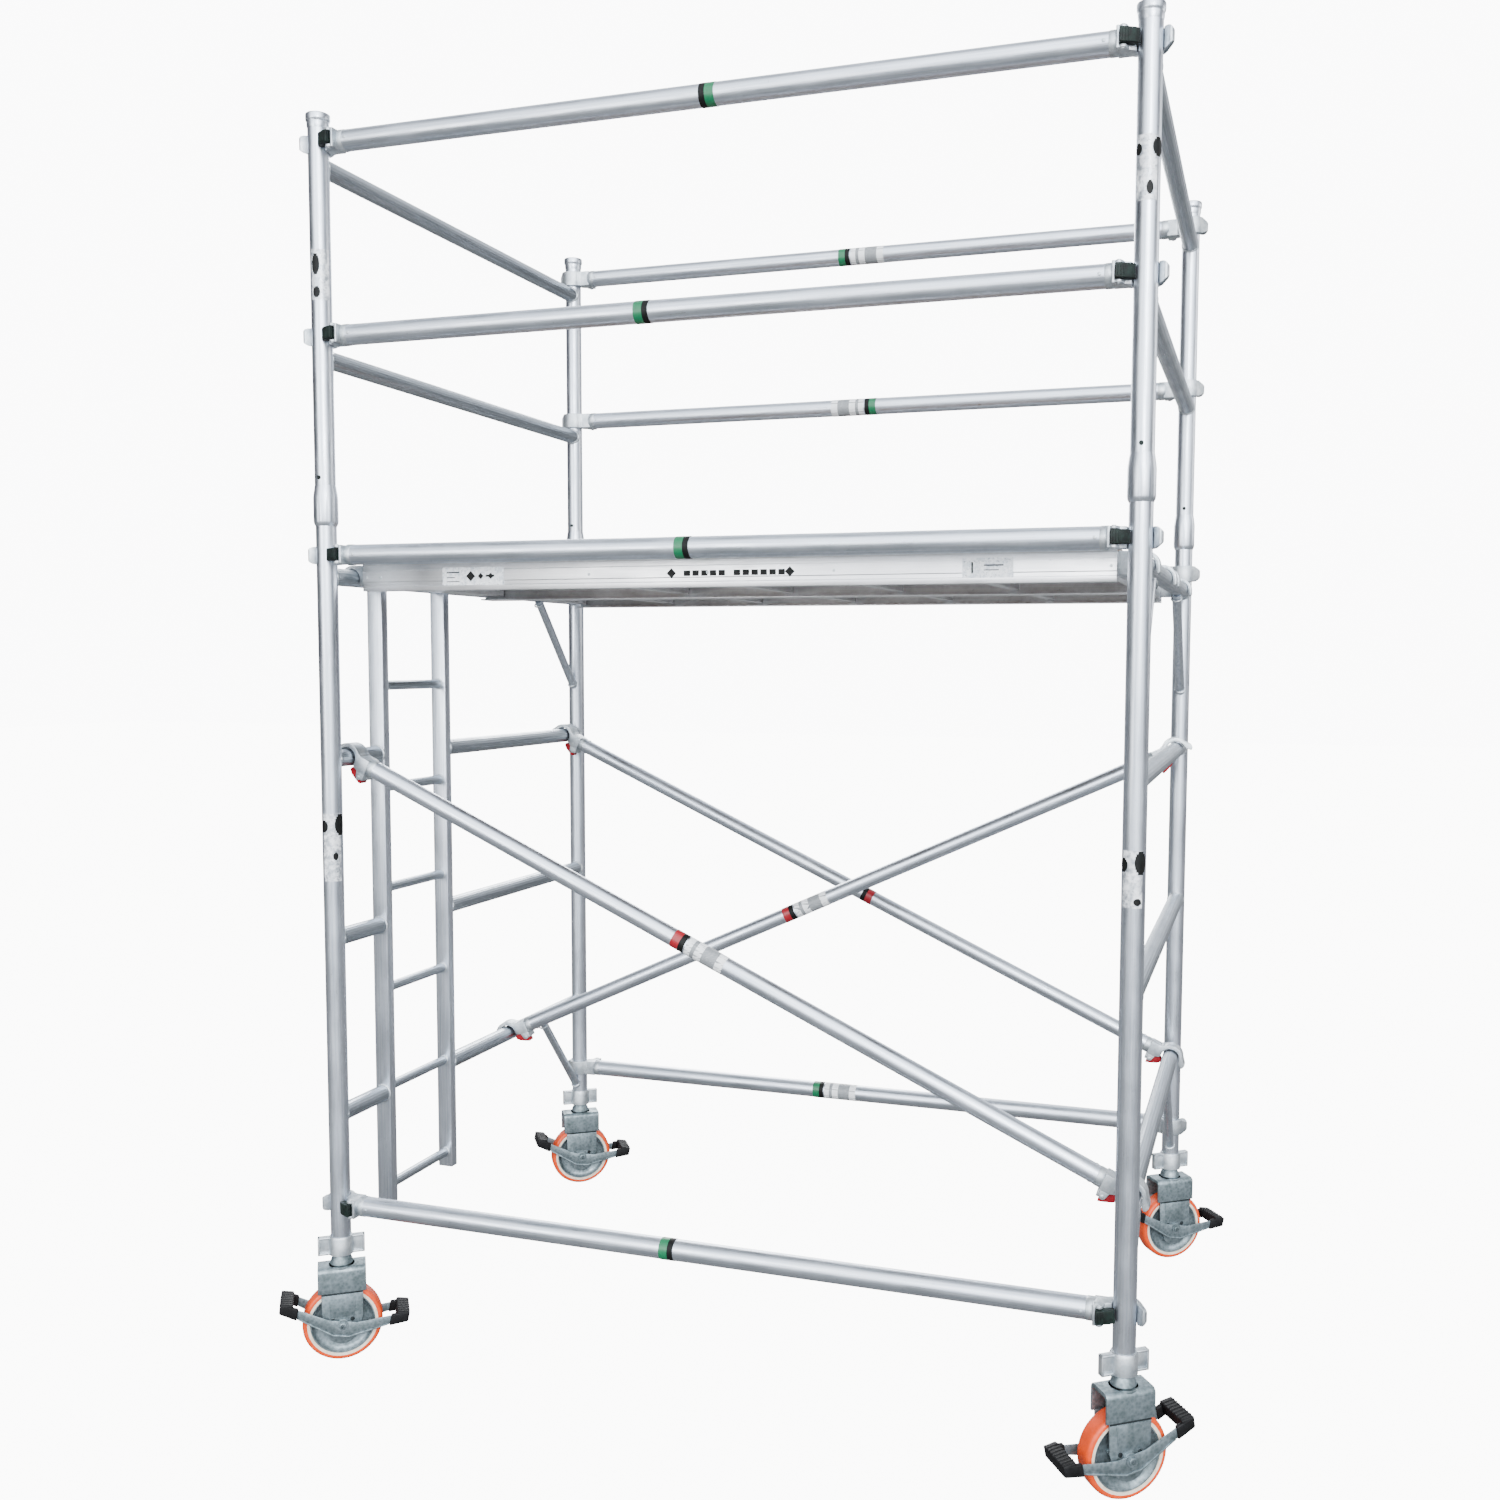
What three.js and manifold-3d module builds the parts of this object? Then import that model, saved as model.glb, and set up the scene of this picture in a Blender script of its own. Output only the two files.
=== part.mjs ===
// Mobile aluminium scaffold tower, one bay: two lower frames, two guard frames,
// clip-on braces, two deck units with a trapdoor, and four adjustable braked castors.
// Millimetres, +Z up. The origin is on the floor under the middle of the tower,
// +X runs along the bay and +Y runs from the front face to the back face.
import * as THREE from 'three';
import { mergeVertices } from 'three/addons/utils/BufferGeometryUtils.js';
import Module from 'manifold-3d';

const wasm = await Module();
wasm.setup();

// ---------- driving dimensions ----------
const BAY_LENGTH = 2000;        // between upright centre lines, along X
const BAY_WIDTH = 1350;         // between upright centre lines, along Y
const HALF_L = BAY_LENGTH / 2;
const HALF_W = BAY_WIDTH / 2;

const TUBE_R = 25.4;            // uprights and horizontal braces, 50.8 mm tube
const TUBE_BORE_R = 22.9;
const RUNG_R = 22.25;           // rungs and diagonal braces, 44.5 mm tube
const RUNG_BORE_R = 19.75;
const SLIM_R = 12.7;            // ladder rungs and knee braces, 25.4 mm tube
const SLIM_BORE_R = 10.2;
const GAP = 0.4;                // between neighbouring pieces

const FRAME_FOOT_Z = 326;
const JOINT_Z = 2152;           // a guard frame stands here on a lower frame
const TOP_Z = 3150;
const FIRST_RUNG_Z = 645;
const RUNG_PITCH = 460;
const LOWER_RUNGS = [0, 1, 2, 3].map((i) => FIRST_RUNG_Z + i * RUNG_PITCH);
const DECK_RUNG_Z = LOWER_RUNGS[3];
const GUARD_RUNGS = [2563, 3028];
const BRACE_RISE = 52;          // a horizontal brace clips on this far above a rung
const BASE_BRACE_Z = 410;

const SPIGOT_R = 22.2;
const SPIGOT_BORE_R = 18.5;
const SPIGOT_HALF = 110;        // it reaches this far above and below the joint
const COLLAR_R = 29;
const COLLAR_HEIGHT = 98;
const MOUTH_RING_HEIGHT = 36;

const STILE_DEPTH = 45;         // ladder stile, along X
const STILE_WIDTH = 28;         // ladder stile, along Y
const STILE_WALL = 2.5;
const STILE_Y = [-466, -166];
const STILE_FOOT_Z = 340;
const LADDER_FIRST_Z = 383;
const LADDER_PITCH = 273;
const LADDER_RUNGS = 6;

const KNEE_REACH = 268;         // a knee brace meets its rung this far in from the upright
const KNEE_SLOPE = 1.213;       // its drop for each millimetre outwards

const CLAW_HEIGHT = 46;
const CLAW_INNER_R = 26.4;
const CLAW_OUTER_R = 37;
const CLAW_LIP = 48;            // how far the jaw's flared lip reaches past the gripped tube's axis
const CLAW_BLOCK_END = -66;     // where the claw's block enters the brace tube
const PIVOT = [-52, -31];       // trigger pin, in the claw's own plane
const PIN_R = 2.5;
const TRIGGER_HEIGHT = 30;

const DECK_INNER_Y = 5;
const DECK_WIDTH = 600;
const DECK_HALF_LENGTH = 945;
const DECK_BOTTOM_Z = 1990;
const DECK_TOP_Z = 2066;
const BEAM_WIDTH = 28;
const BEAM_WALL = 4;
const PANEL_THICKNESS = 10;
const HOOK_WIDTH = 40;
const HOOK_OFFSET = 250;        // from the deck unit's own centre line
const TRAP_X = [-880, -320];    // trapdoor opening, between cross members
const CROSS_MEMBER = 24;

const WHEEL_R = 100;
const WHEEL_WIDTH = 50;
const CASTOR_TURN = THREE.MathUtils.degToRad(36);
const HEAD_TOP_Z = 250;
const FORK_HALF_WIDTH = 36;
const AXLE_R = 6;
const STEM_R = 19;
const STEM_TOP_Z = 720;
const NUT_R = 31;
const NUT_HEIGHT = 49;
const PEDAL_REACH = 150;        // from the axle to each foot bar, and how far the bars stand above it
const PEDAL_RISE = 34;
const PEDAL_ROCK = THREE.MathUtils.degToRad(11);

const TUBE_SIDES = 12;
const SMALL_SIDES = 8;
const WHEEL_SIDES = 20;

// ---------- materials ----------
const metal = (color, roughness) => new THREE.MeshStandardMaterial({ color, roughness, metalness: 1 });
const aluminium = metal('#c3c9d4', 0.42);
const castAlloy = metal('#a9b0b4', 0.55);
const zinc = metal('#8f9d9d', 0.5);
const blackPlastic = new THREE.MeshStandardMaterial({ color: '#16201e', roughness: 0.5, metalness: 0 });
const redPlastic = new THREE.MeshStandardMaterial({ color: '#a8323c', roughness: 0.5, metalness: 0 });
const filmPly = new THREE.MeshStandardMaterial({ color: '#7d6a60', roughness: 0.7, metalness: 0 });
const orangeTread = new THREE.MeshStandardMaterial({ color: '#e9682f', roughness: 0.5, metalness: 0 });

// ---------- solids ----------
function toSolid(geometry) {
  const bare = geometry.index ? geometry.clone() : geometry;
  bare.deleteAttribute('normal');
  bare.deleteAttribute('uv');
  const merged = mergeVertices(bare, 1e-4);
  return new wasm.Manifold(new wasm.Mesh({
    numProp: 3,
    vertProperties: new Float32Array(merged.attributes.position.array),
    triVerts: new Uint32Array(merged.index.array),
  }));
}

function toGeometry(solid) {
  const mesh = solid.getMesh();
  const geometry = new THREE.BufferGeometry();
  geometry.setAttribute('position', new THREE.BufferAttribute(new Float32Array(mesh.vertProperties), 3));
  geometry.setIndex(new THREE.BufferAttribute(new Uint32Array(mesh.triVerts), 1));
  geometry.computeVertexNormals();
  return geometry;
}

function join(solids) {
  return solids.reduce((sum, solid) => sum.add(solid));
}

function cut(solid, tools) {
  return tools.reduce((rest, tool) => rest.subtract(tool), solid);
}

function rod(from, to, radius, sides = TUBE_SIDES) {
  const a = new THREE.Vector3(...from);
  const b = new THREE.Vector3(...to);
  const direction = b.clone().sub(a);
  const geometry = new THREE.CylinderGeometry(radius, radius, direction.length(), sides);
  const turn = new THREE.Quaternion().setFromUnitVectors(new THREE.Vector3(0, 1, 0), direction.normalize());
  geometry.applyQuaternion(turn);
  geometry.translate(...a.add(b).multiplyScalar(0.5).toArray());
  return toSolid(geometry);
}

function box(low, high) {
  const size = high.map((value, i) => value - low[i]);
  const geometry = new THREE.BoxGeometry(...size);
  geometry.translate(...high.map((value, i) => (value + low[i]) / 2));
  return toSolid(geometry);
}

// An outline in the XY plane, given a thickness along Z and centred on z = 0.
// Each arc in the outline becomes twice curveSegments straight steps.
function slab(shape, thickness, curveSegments = 3) {
  const geometry = new THREE.ExtrudeGeometry(shape, { depth: thickness, bevelEnabled: false, curveSegments });
  geometry.translate(0, 0, -thickness / 2);
  return toSolid(geometry);
}

function polygon(points) {
  return new THREE.Shape(points.map(([x, y]) => new THREE.Vector2(x, y)));
}

function place(solid, matrix) {
  return solid.transform(matrix.elements);
}

// ---------- frames ----------
function kneeBrace(x, rungZ, side) {
  const endInset = 13;
  const start = [x, side * (HALF_W - KNEE_REACH), rungZ];
  const end = [x, side * (HALF_W - endInset), rungZ - (KNEE_REACH - endInset) * KNEE_SLOPE];
  return { tube: rod(start, end, SLIM_R, SMALL_SIDES), bore: rod(start, end, SLIM_BORE_R, SMALL_SIDES) };
}

function uprights(x, low, high) {
  const ends = [-HALF_W, HALF_W].map((y) => [[x, y, low], [x, y, high]]);
  return {
    tubes: ends.map(([a, b]) => rod(a, b, TUBE_R)),
    bores: ends.map(([a, b]) => rod([x, a[1], low - 1], [x, b[1], high + 1], TUBE_BORE_R)),
  };
}

function spigots(x) {
  return [-HALF_W, HALF_W].map((y) => {
    const low = [x, y, JOINT_Z - SPIGOT_HALF];
    const high = [x, y, JOINT_Z + SPIGOT_HALF];
    const pipe = rod(low, high, SPIGOT_R);
    const seat = rod(low, [x, y, JOINT_Z - 2], TUBE_BORE_R + 0.2);
    return cut(pipe.add(seat), [rod([x, y, low[2] - 1], [x, y, high[2] + 1], SPIGOT_BORE_R)]);
  });
}

// Rungs are [y from, y to, z] runs, open at whichever end meets an upright's bore.
function rungRuns(x, runs) {
  return {
    tubes: runs.map(([a, b, z]) => rod([x, a, z], [x, b, z], RUNG_R)),
    bores: runs.map(([a, b, z]) => {
      const inset = (y) => (Math.abs(y) < HALF_W ? 6 * Math.sign(a + b - 2 * y) : 0);
      return rod([x, a + inset(a), z], [x, b + inset(b), z], RUNG_BORE_R);
    }),
  };
}

function ladderFrame() {
  const x = -HALF_L;
  const posts = uprights(x, FRAME_FOOT_Z, JOINT_Z - GAP);
  const runs = LOWER_RUNGS.slice(0, 3).flatMap((z) => [
    [-HALF_W, STILE_Y[0], z],
    [STILE_Y[1], HALF_W, z],
  ]);
  const rungs = rungRuns(x, [...runs, [-HALF_W, HALF_W, DECK_RUNG_Z]]);
  const knees = [kneeBrace(x, DECK_RUNG_Z, 1), kneeBrace(x, FIRST_RUNG_Z, 1)];
  const stileBox = (y, wall, low, high) => box(
    [x - STILE_DEPTH / 2 + wall, y - STILE_WIDTH / 2 + wall, low],
    [x + STILE_DEPTH / 2 - wall, y + STILE_WIDTH / 2 - wall, high],
  );
  const stiles = STILE_Y.map((y) => stileBox(y, 0, STILE_FOOT_Z, DECK_RUNG_Z - RUNG_R / 2));
  const stileBores = STILE_Y.map((y) => stileBox(y, STILE_WALL, STILE_FOOT_Z - 1, DECK_RUNG_Z - RUNG_R - 4));
  const steps = Array.from({ length: LADDER_RUNGS }, (_, i) => LADDER_FIRST_Z + i * LADDER_PITCH);
  const stepRods = steps.map((z) => rod([x, STILE_Y[0], z], [x, STILE_Y[1], z], SLIM_R, SMALL_SIDES));
  const outer = join([...posts.tubes, ...rungs.tubes, ...knees.map((k) => k.tube), ...stiles, ...stepRods]);
  const hollow = cut(outer, [...posts.bores, ...rungs.bores, ...knees.map((k) => k.bore), ...stileBores]);
  return join([hollow, ...spigots(x)]);
}

function endFrame() {
  const x = HALF_L;
  const posts = uprights(x, FRAME_FOOT_Z, JOINT_Z - GAP);
  const rungs = rungRuns(x, LOWER_RUNGS.map((z) => [-HALF_W, HALF_W, z]));
  const knees = [DECK_RUNG_Z, FIRST_RUNG_Z].flatMap((z) => [kneeBrace(x, z, -1), kneeBrace(x, z, 1)]);
  const outer = join([...posts.tubes, ...rungs.tubes, ...knees.map((k) => k.tube)]);
  const hollow = cut(outer, [...posts.bores, ...rungs.bores, ...knees.map((k) => k.bore)]);
  return join([hollow, ...spigots(x)]);
}

function guardFrame(x) {
  const posts = uprights(x, JOINT_Z, TOP_Z);
  const rungs = rungRuns(x, GUARD_RUNGS.map((z) => [-HALF_W, HALF_W, z]));
  const rings = [-HALF_W, HALF_W].flatMap((y) => [
    rod([x, y, JOINT_Z], [x, y, JOINT_Z + COLLAR_HEIGHT], COLLAR_R),
    rod([x, y, TOP_Z - MOUTH_RING_HEIGHT], [x, y, TOP_Z], COLLAR_R),
  ]);
  return cut(join([...posts.tubes, ...rings, ...rungs.tubes]), [...posts.bores, ...rungs.bores]);
}

// ---------- brace ends ----------
// In the claw's own plane the gripped tube is at the origin, the brace leaves
// along -X and the mouth opens along -Y.
function clawOutline() {
  const shape = new THREE.Shape();
  shape.moveTo(CLAW_INNER_R, 0);
  shape.absarc(0, 0, CLAW_INNER_R, 0, Math.PI, false);
  shape.lineTo(-CLAW_INNER_R, -11);
  shape.lineTo(-CLAW_OUTER_R, -16);
  shape.lineTo(-44, -20);
  shape.lineTo(CLAW_BLOCK_END, -20);
  shape.lineTo(CLAW_BLOCK_END, 20);
  shape.lineTo(-40, 20);
  shape.lineTo(-31, 21);
  shape.absarc(0, 0, CLAW_OUTER_R, THREE.MathUtils.degToRad(146), THREE.MathUtils.degToRad(24), true);
  shape.lineTo(CLAW_LIP - 5, 2);
  shape.lineTo(CLAW_LIP, -9);
  shape.lineTo(CLAW_LIP - 2, -17);
  shape.lineTo(CLAW_LIP - 8, -17);
  shape.lineTo(CLAW_INNER_R + 6, -8);
  return shape;
}

function claw() {
  const half = CLAW_HEIGHT / 2;
  const front = polygon([
    [CLAW_BLOCK_END - 1, -half], [CLAW_LIP - 14, -half], [CLAW_LIP - 4, -half + 6], [CLAW_LIP + 1, -8],
    [CLAW_LIP + 1, 8], [CLAW_LIP - 4, half - 6], [CLAW_LIP - 14, half], [CLAW_BLOCK_END - 1, half],
  ]);
  const rounding = place(slab(front, 4 * CLAW_OUTER_R), new THREE.Matrix4().makeRotationX(Math.PI / 2));
  const body = slab(clawOutline(), CLAW_HEIGHT, 4).intersect(rounding);
  const [px, py] = PIVOT;
  const earLow = TRIGGER_HEIGHT / 2 + 1;
  const ears = [-1, 1].map((side) => box(
    [CLAW_BLOCK_END, py - 7, side < 0 ? -half : earLow],
    [px + 8, -19, side < 0 ? -earLow : half],
  ));
  const backWall = box([CLAW_BLOCK_END, py - 5, -half], [px - 7, -19, half]);
  const pin = rod([px, py, -half + 1], [px, py, half - 1], PIN_R, 6);
  return join([body, ...ears, backWall, pin]);
}

function trigger() {
  const outline = polygon([
    [-57.5, -31], [-55.5, -27], [-52, -25.5], [-43, -23], [-35, -17], [-24, -15], [-18, -21],
    [-18, -27], [-26, -35], [-44, -44], [-57, -49], [-58, -42], [-56.5, -36],
  ]);
  const hole = rod([...PIVOT, -TRIGGER_HEIGHT], [...PIVOT, TRIGGER_HEIGHT], PIN_R + 0.8, 6);
  return slab(outline, TRIGGER_HEIGHT).subtract(hole);
}

// Claw frame at one end of a brace: origin on the gripped tube, +X away from the brace.
function clawMatrix(origin, outward, mouth) {
  const xAxis = outward.clone().normalize();
  const yAxis = mouth.clone().negate();
  yAxis.addScaledVector(xAxis, -yAxis.dot(xAxis)).normalize();
  const zAxis = new THREE.Vector3().crossVectors(xAxis, yAxis);
  return new THREE.Matrix4().makeBasis(xAxis, yAxis, zAxis).setPosition(origin);
}

function braceEnds(left, right, mouth) {
  const a = new THREE.Vector3(...left);
  const b = new THREE.Vector3(...right);
  const along = b.clone().sub(a).normalize();
  return [clawMatrix(a, along.clone().negate(), mouth), clawMatrix(b, along, mouth)];
}

function brace(ends, radius, boreRadius) {
  const start = (matrix, x) => new THREE.Vector3(x, 0, 0).applyMatrix4(matrix).toArray();
  const tubeStart = CLAW_BLOCK_END + 4;
  const tube = rod(start(ends[0], tubeStart), start(ends[1], tubeStart), radius);
  const bore = rod(start(ends[0], CLAW_BLOCK_END), start(ends[1], CLAW_BLOCK_END), boreRadius);
  const vent = rod(start(ends[0], 0), start(ends[1], 0), 5, 4);
  const claws = ends.map((matrix) => place(claw(), matrix));
  return cut(join([cut(tube, [bore]), ...claws]), [vent]);
}

// ---------- deck ----------
function deckHook(x, y) {
  const side = Math.sign(x);
  const shape = new THREE.Shape();
  shape.moveTo(-60, -20);
  shape.lineTo(-60, 33);
  shape.lineTo(0, 33);
  shape.absarc(0, 0, 33, Math.PI / 2, 0, true);
  shape.lineTo(33, -14);
  shape.lineTo(RUNG_R + 2, -14);
  shape.lineTo(RUNG_R + 2, 0);
  shape.absarc(0, 0, RUNG_R + 2, 0, Math.PI, false);
  shape.lineTo(-RUNG_R - 2, -20);
  const basis = new THREE.Matrix4().makeBasis(
    new THREE.Vector3(side, 0, 0),
    new THREE.Vector3(0, 0, 1),
    new THREE.Vector3(0, -side, 0),
  );
  return place(slab(shape, HOOK_WIDTH), basis.setPosition(x, y, DECK_RUNG_Z));
}

// A side beam: a channel whose web is on the deck unit's outer face, open to its inside.
function channelBeam(outerY, inward) {
  const part = (fromY, toY, low, high) => box(
    [-DECK_HALF_LENGTH, Math.min(outerY + inward * fromY, outerY + inward * toY), low],
    [DECK_HALF_LENGTH, Math.max(outerY + inward * fromY, outerY + inward * toY), high],
  );
  return join([
    part(0, BEAM_WALL, DECK_BOTTOM_Z, DECK_TOP_Z),
    part(0, BEAM_WIDTH, DECK_BOTTOM_Z, DECK_BOTTOM_Z + BEAM_WALL),
    part(0, BEAM_WIDTH, DECK_TOP_Z - BEAM_WALL, DECK_TOP_Z),
  ]);
}

function deckUnit(side, crossMembers, panels) {
  const near = side * DECK_INNER_Y;
  const far = side * (DECK_INNER_Y + DECK_WIDTH);
  const [lowY, highY] = [Math.min(near, far), Math.max(near, far)];
  const beams = [channelBeam(lowY, 1), channelBeam(highY, -1)];
  const members = crossMembers.map((x) => box(
    [x - CROSS_MEMBER / 2, lowY + 1, DECK_BOTTOM_Z + 12],
    [x + CROSS_MEMBER / 2, highY - 1, DECK_TOP_Z - PANEL_THICKNESS - GAP],
  ));
  const boards = panels.map(([from, to]) => box(
    [from, lowY + 1, DECK_TOP_Z - PANEL_THICKNESS - 1],
    [to, highY - 1, DECK_TOP_Z - 1],
  ));
  const middle = (lowY + highY) / 2;
  const hooks = [-HALF_L, HALF_L].flatMap((x) => [-HOOK_OFFSET, HOOK_OFFSET].map((dy) => deckHook(x, middle + dy)));
  return join([...beams, ...members, ...boards, ...hooks]);
}

const END_MEMBER_X = DECK_HALF_LENGTH - CROSS_MEMBER / 2;

function frontDeck() {
  const members = [-END_MEMBER_X, TRAP_X[0] - 12, TRAP_X[1] + 12, 0, 310, 620, END_MEMBER_X];
  const panels = [[-DECK_HALF_LENGTH, TRAP_X[0]], [TRAP_X[1], DECK_HALF_LENGTH]];
  return deckUnit(-1, members, panels);
}

function rearDeck() {
  const members = [-END_MEMBER_X, -620, -310, 0, 310, 620, END_MEMBER_X];
  return deckUnit(1, members, [[-DECK_HALF_LENGTH, DECK_HALF_LENGTH]]);
}

function trapdoor() {
  const farY = -DECK_INNER_Y - DECK_WIDTH + BEAM_WIDTH;
  const hingeY = farY + 4.5;
  const nearY = -DECK_INNER_Y - BEAM_WIDTH - 3;
  const panel = box(
    [TRAP_X[0] + 3, hingeY + 2, DECK_TOP_Z - PANEL_THICKNESS],
    [TRAP_X[1] - 3, nearY, DECK_TOP_Z],
  );
  const middleX = (TRAP_X[0] + TRAP_X[1]) / 2;
  const barrels = [-180, 0, 180].map((dx) => rod(
    [middleX + dx - 35, hingeY, DECK_TOP_Z],
    [middleX + dx + 35, hingeY, DECK_TOP_Z],
    3.8,
    8,
  ));
  const fingerSlot = box([middleX - 50, nearY - 75, 2000], [middleX + 50, nearY - 45, 2100]);
  return cut(join([panel, ...barrels]), [fingerSlot]);
}

// ---------- castors ----------
// Each castor is drawn about its own upright axis, rolling along its own X.
function leg() {
  const profile = [
    [0, HEAD_TOP_Z + GAP], [27, HEAD_TOP_Z + GAP], [29, HEAD_TOP_Z + 4], [26, HEAD_TOP_Z + 22],
    [STEM_R, HEAD_TOP_Z + 26], [STEM_R, STEM_TOP_Z - 3], [STEM_R - 3, STEM_TOP_Z], [0, STEM_TOP_Z],
  ];
  return lathe(profile, TUBE_SIDES);
}

function lathe(profile, sides) {
  const geometry = new THREE.LatheGeometry(profile.map(([r, z]) => new THREE.Vector2(r, z)), sides);
  geometry.rotateX(Math.PI / 2);
  return toSolid(geometry);
}

function adjustingNut() {
  const low = FRAME_FOOT_Z - GAP - NUT_HEIGHT;
  const high = FRAME_FOOT_Z - GAP;
  const collar = rod([0, 0, low], [0, 0, high], NUT_R);
  const lugs = box([-58, -8, low], [58, 8, high - 2]);
  const bore = rod([0, 0, low - 1], [0, 0, high + 1], STEM_R + 1);
  return cut(join([collar, lugs]), [bore]);
}

function fork() {
  const inner = FORK_HALF_WIDTH - 6;
  const head = box([-60, -FORK_HALF_WIDTH, 184], [60, FORK_HALF_WIDTH, HEAD_TOP_Z]);
  const cheek = new THREE.Shape();
  cheek.moveTo(-53, 190);
  cheek.lineTo(-53, 112);
  cheek.lineTo(-34, 66);
  cheek.absarc(0, 88, 40, THREE.MathUtils.degToRad(213), THREE.MathUtils.degToRad(327), false);
  cheek.lineTo(53, 112);
  cheek.lineTo(53, 190);
  const upright = new THREE.Matrix4().makeRotationX(Math.PI / 2);
  const cheeks = place(slab(cheek, 2 * FORK_HALF_WIDTH - 4), upright);
  const roomLow = box([-80, -inner, 0], [80, inner, 210]);
  const roomHigh = place(slab(polygon([[-70, 200], [70, 200], [50, 236], [-50, 236]]), 2 * inner), upright);
  const axle = rod([0, -FORK_HALF_WIDTH - 14, WHEEL_R], [0, FORK_HALF_WIDTH + 14, WHEEL_R], AXLE_R, SMALL_SIDES);
  return cut(join([head, cheeks]), [roomLow, roomHigh]).add(axle);
}

function wheel() {
  const w = WHEEL_WIDTH / 2;
  const bore = AXLE_R + 0.5;
  const tread = WHEEL_R / Math.cos(Math.PI / WHEEL_SIDES);   // so that a flat side meets the floor
  const profile = [
    [bore, -w - 3], [22, -w - 3], [26, -14], [78, -14], [84, -w], [92, -w], [tread, -10],
    [tread, 10], [92, w], [84, w], [78, 14], [26, 14], [22, w + 3], [bore, w + 3], [bore, -w - 3],
  ];
  const onSide = new THREE.Matrix4().makeRotationX(Math.PI / 2);
  const flatDown = new THREE.Matrix4().makeRotationY(Math.PI / WHEEL_SIDES);
  return place(lathe(profile, WHEEL_SIDES), flatDown.multiply(onSide).setPosition(0, 0, WHEEL_R));
}

// A stirrup about the axle: two V-shaped arms joined at each end by a foot bar,
// with the grip's covers over the arms' ends.
function brakePedal() {
  const arm = polygon([
    [-20, -38], [20, -38], [PEDAL_REACH, 22], [PEDAL_REACH + 6, 46], [40, 16], [-40, 16],
    [-PEDAL_REACH - 6, 46], [-PEDAL_REACH, 22],
  ]);
  const cover = (side) => polygon([[116, 7], [162, 21], [163, 47], [116, 37]].map(([x, z]) => [side * x, z]));
  const upright = new THREE.Matrix4().makeRotationX(Math.PI / 2);
  const armY = FORK_HALF_WIDTH + 6;
  const plate = (outline, thickness, y) => place(slab(outline, thickness), upright.clone().setPosition(0, y, 0));
  const arms = [-armY, armY].flatMap((y) => [plate(arm, 5, y), plate(cover(-1), 11, y), plate(cover(1), 11, y)]);
  const axleHole = rod([0, -armY - 5, 0], [0, armY + 5, 0], AXLE_R + 0.8, SMALL_SIDES);
  const bars = [-PEDAL_REACH, PEDAL_REACH].map((x) => box(
    [x - 11, -armY - 5, PEDAL_RISE - 12],
    [x + 11, armY + 5, PEDAL_RISE + 12],
  ));
  return cut(join([...arms, ...bars]), [axleHole]);
}

// ---------- assembly ----------
const tower = new THREE.Group();

function add(name, solid, material, parent = tower) {
  const mesh = new THREE.Mesh(toGeometry(solid), material);
  mesh.name = name;
  parent.add(mesh);
  return mesh;
}

add('ladder_frame', ladderFrame(), aluminium);
add('end_frame', endFrame(), aluminium);
add('guard_frame_left', guardFrame(-HALF_L), aluminium);
add('guard_frame_right', guardFrame(HALF_L), aluminium);

function addBrace(name, left, right, mouth, radius, boreRadius, triggerMaterial) {
  const ends = braceEnds(left, right, mouth);
  add(`brace_${name}`, brace(ends, radius, boreRadius), aluminium);
  ends.forEach((matrix, i) => {
    add(`trigger_${name}_${i ? 'right' : 'left'}`, place(trigger(), matrix), triggerMaterial);
  });
}

const RAIL_HEIGHTS = {
  base: BASE_BRACE_Z,
  deck: DECK_RUNG_Z + BRACE_RISE,
  mid: GUARD_RUNGS[0] + BRACE_RISE,
  top: GUARD_RUNGS[1] + BRACE_RISE,
};
for (const [face, side] of [['front', -1], ['back', 1]]) {
  for (const [level, z] of Object.entries(RAIL_HEIGHTS)) {
    const y = side * HALF_W;
    const mouth = new THREE.Vector3(0, side, 0);
    addBrace(`${face}_${level}`, [-HALF_L, y, z], [HALF_L, y, z], mouth, TUBE_R, TUBE_BORE_R, blackPlastic);
  }
}

const HIGH_Z = LOWER_RUNGS[2];
const LOW_Z = LOWER_RUNGS[0];
const DIAGONAL_Y = 590;
const down = new THREE.Vector3(0, 0, -1);
const DIAGONALS = {
  diagonal_front: [[-HALF_L, -DIAGONAL_Y, HIGH_Z], [HALF_L, -DIAGONAL_Y, LOW_Z]],
  diagonal_middle: [[-HALF_L, 200, LOW_Z], [HALF_L, 500, HIGH_Z]],
  diagonal_back: [[-HALF_L, DIAGONAL_Y, HIGH_Z], [HALF_L, DIAGONAL_Y, LOW_Z]],
};
for (const [name, [left, right]] of Object.entries(DIAGONALS)) {
  addBrace(name, left, right, down, RUNG_R, RUNG_BORE_R, redPlastic);
}

add('deck_front', frontDeck(), aluminium);
add('deck_rear', rearDeck(), aluminium);
add('trapdoor', trapdoor(), filmPly);

// Where each castor stands, and which way its pedal rocks: 1 with the bar at its -X end up, -1 down.
const CORNERS = {
  front_left: [-HALF_L, -HALF_W, 1],
  front_right: [HALF_L, -HALF_W, -1],
  back_left: [-HALF_L, HALF_W, 1],
  back_right: [HALF_L, HALF_W, 1],
};
for (const [corner, [x, y, rock]] of Object.entries(CORNERS)) {
  const castor = new THREE.Group();
  castor.position.set(x, y, 0);
  castor.rotation.z = CASTOR_TURN;
  tower.add(castor);
  add(`leg_${corner}`, leg(), zinc, castor);
  add(`nut_${corner}`, adjustingNut(), castAlloy, castor);
  add(`fork_${corner}`, fork(), zinc, castor);
  add(`wheel_${corner}`, wheel(), orangeTread, castor);
  const pedal = add(`pedal_${corner}`, brakePedal(), zinc, castor);
  pedal.position.z = WHEEL_R;
  pedal.rotation.y = rock * PEDAL_ROCK;
}

export default tower;
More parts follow.
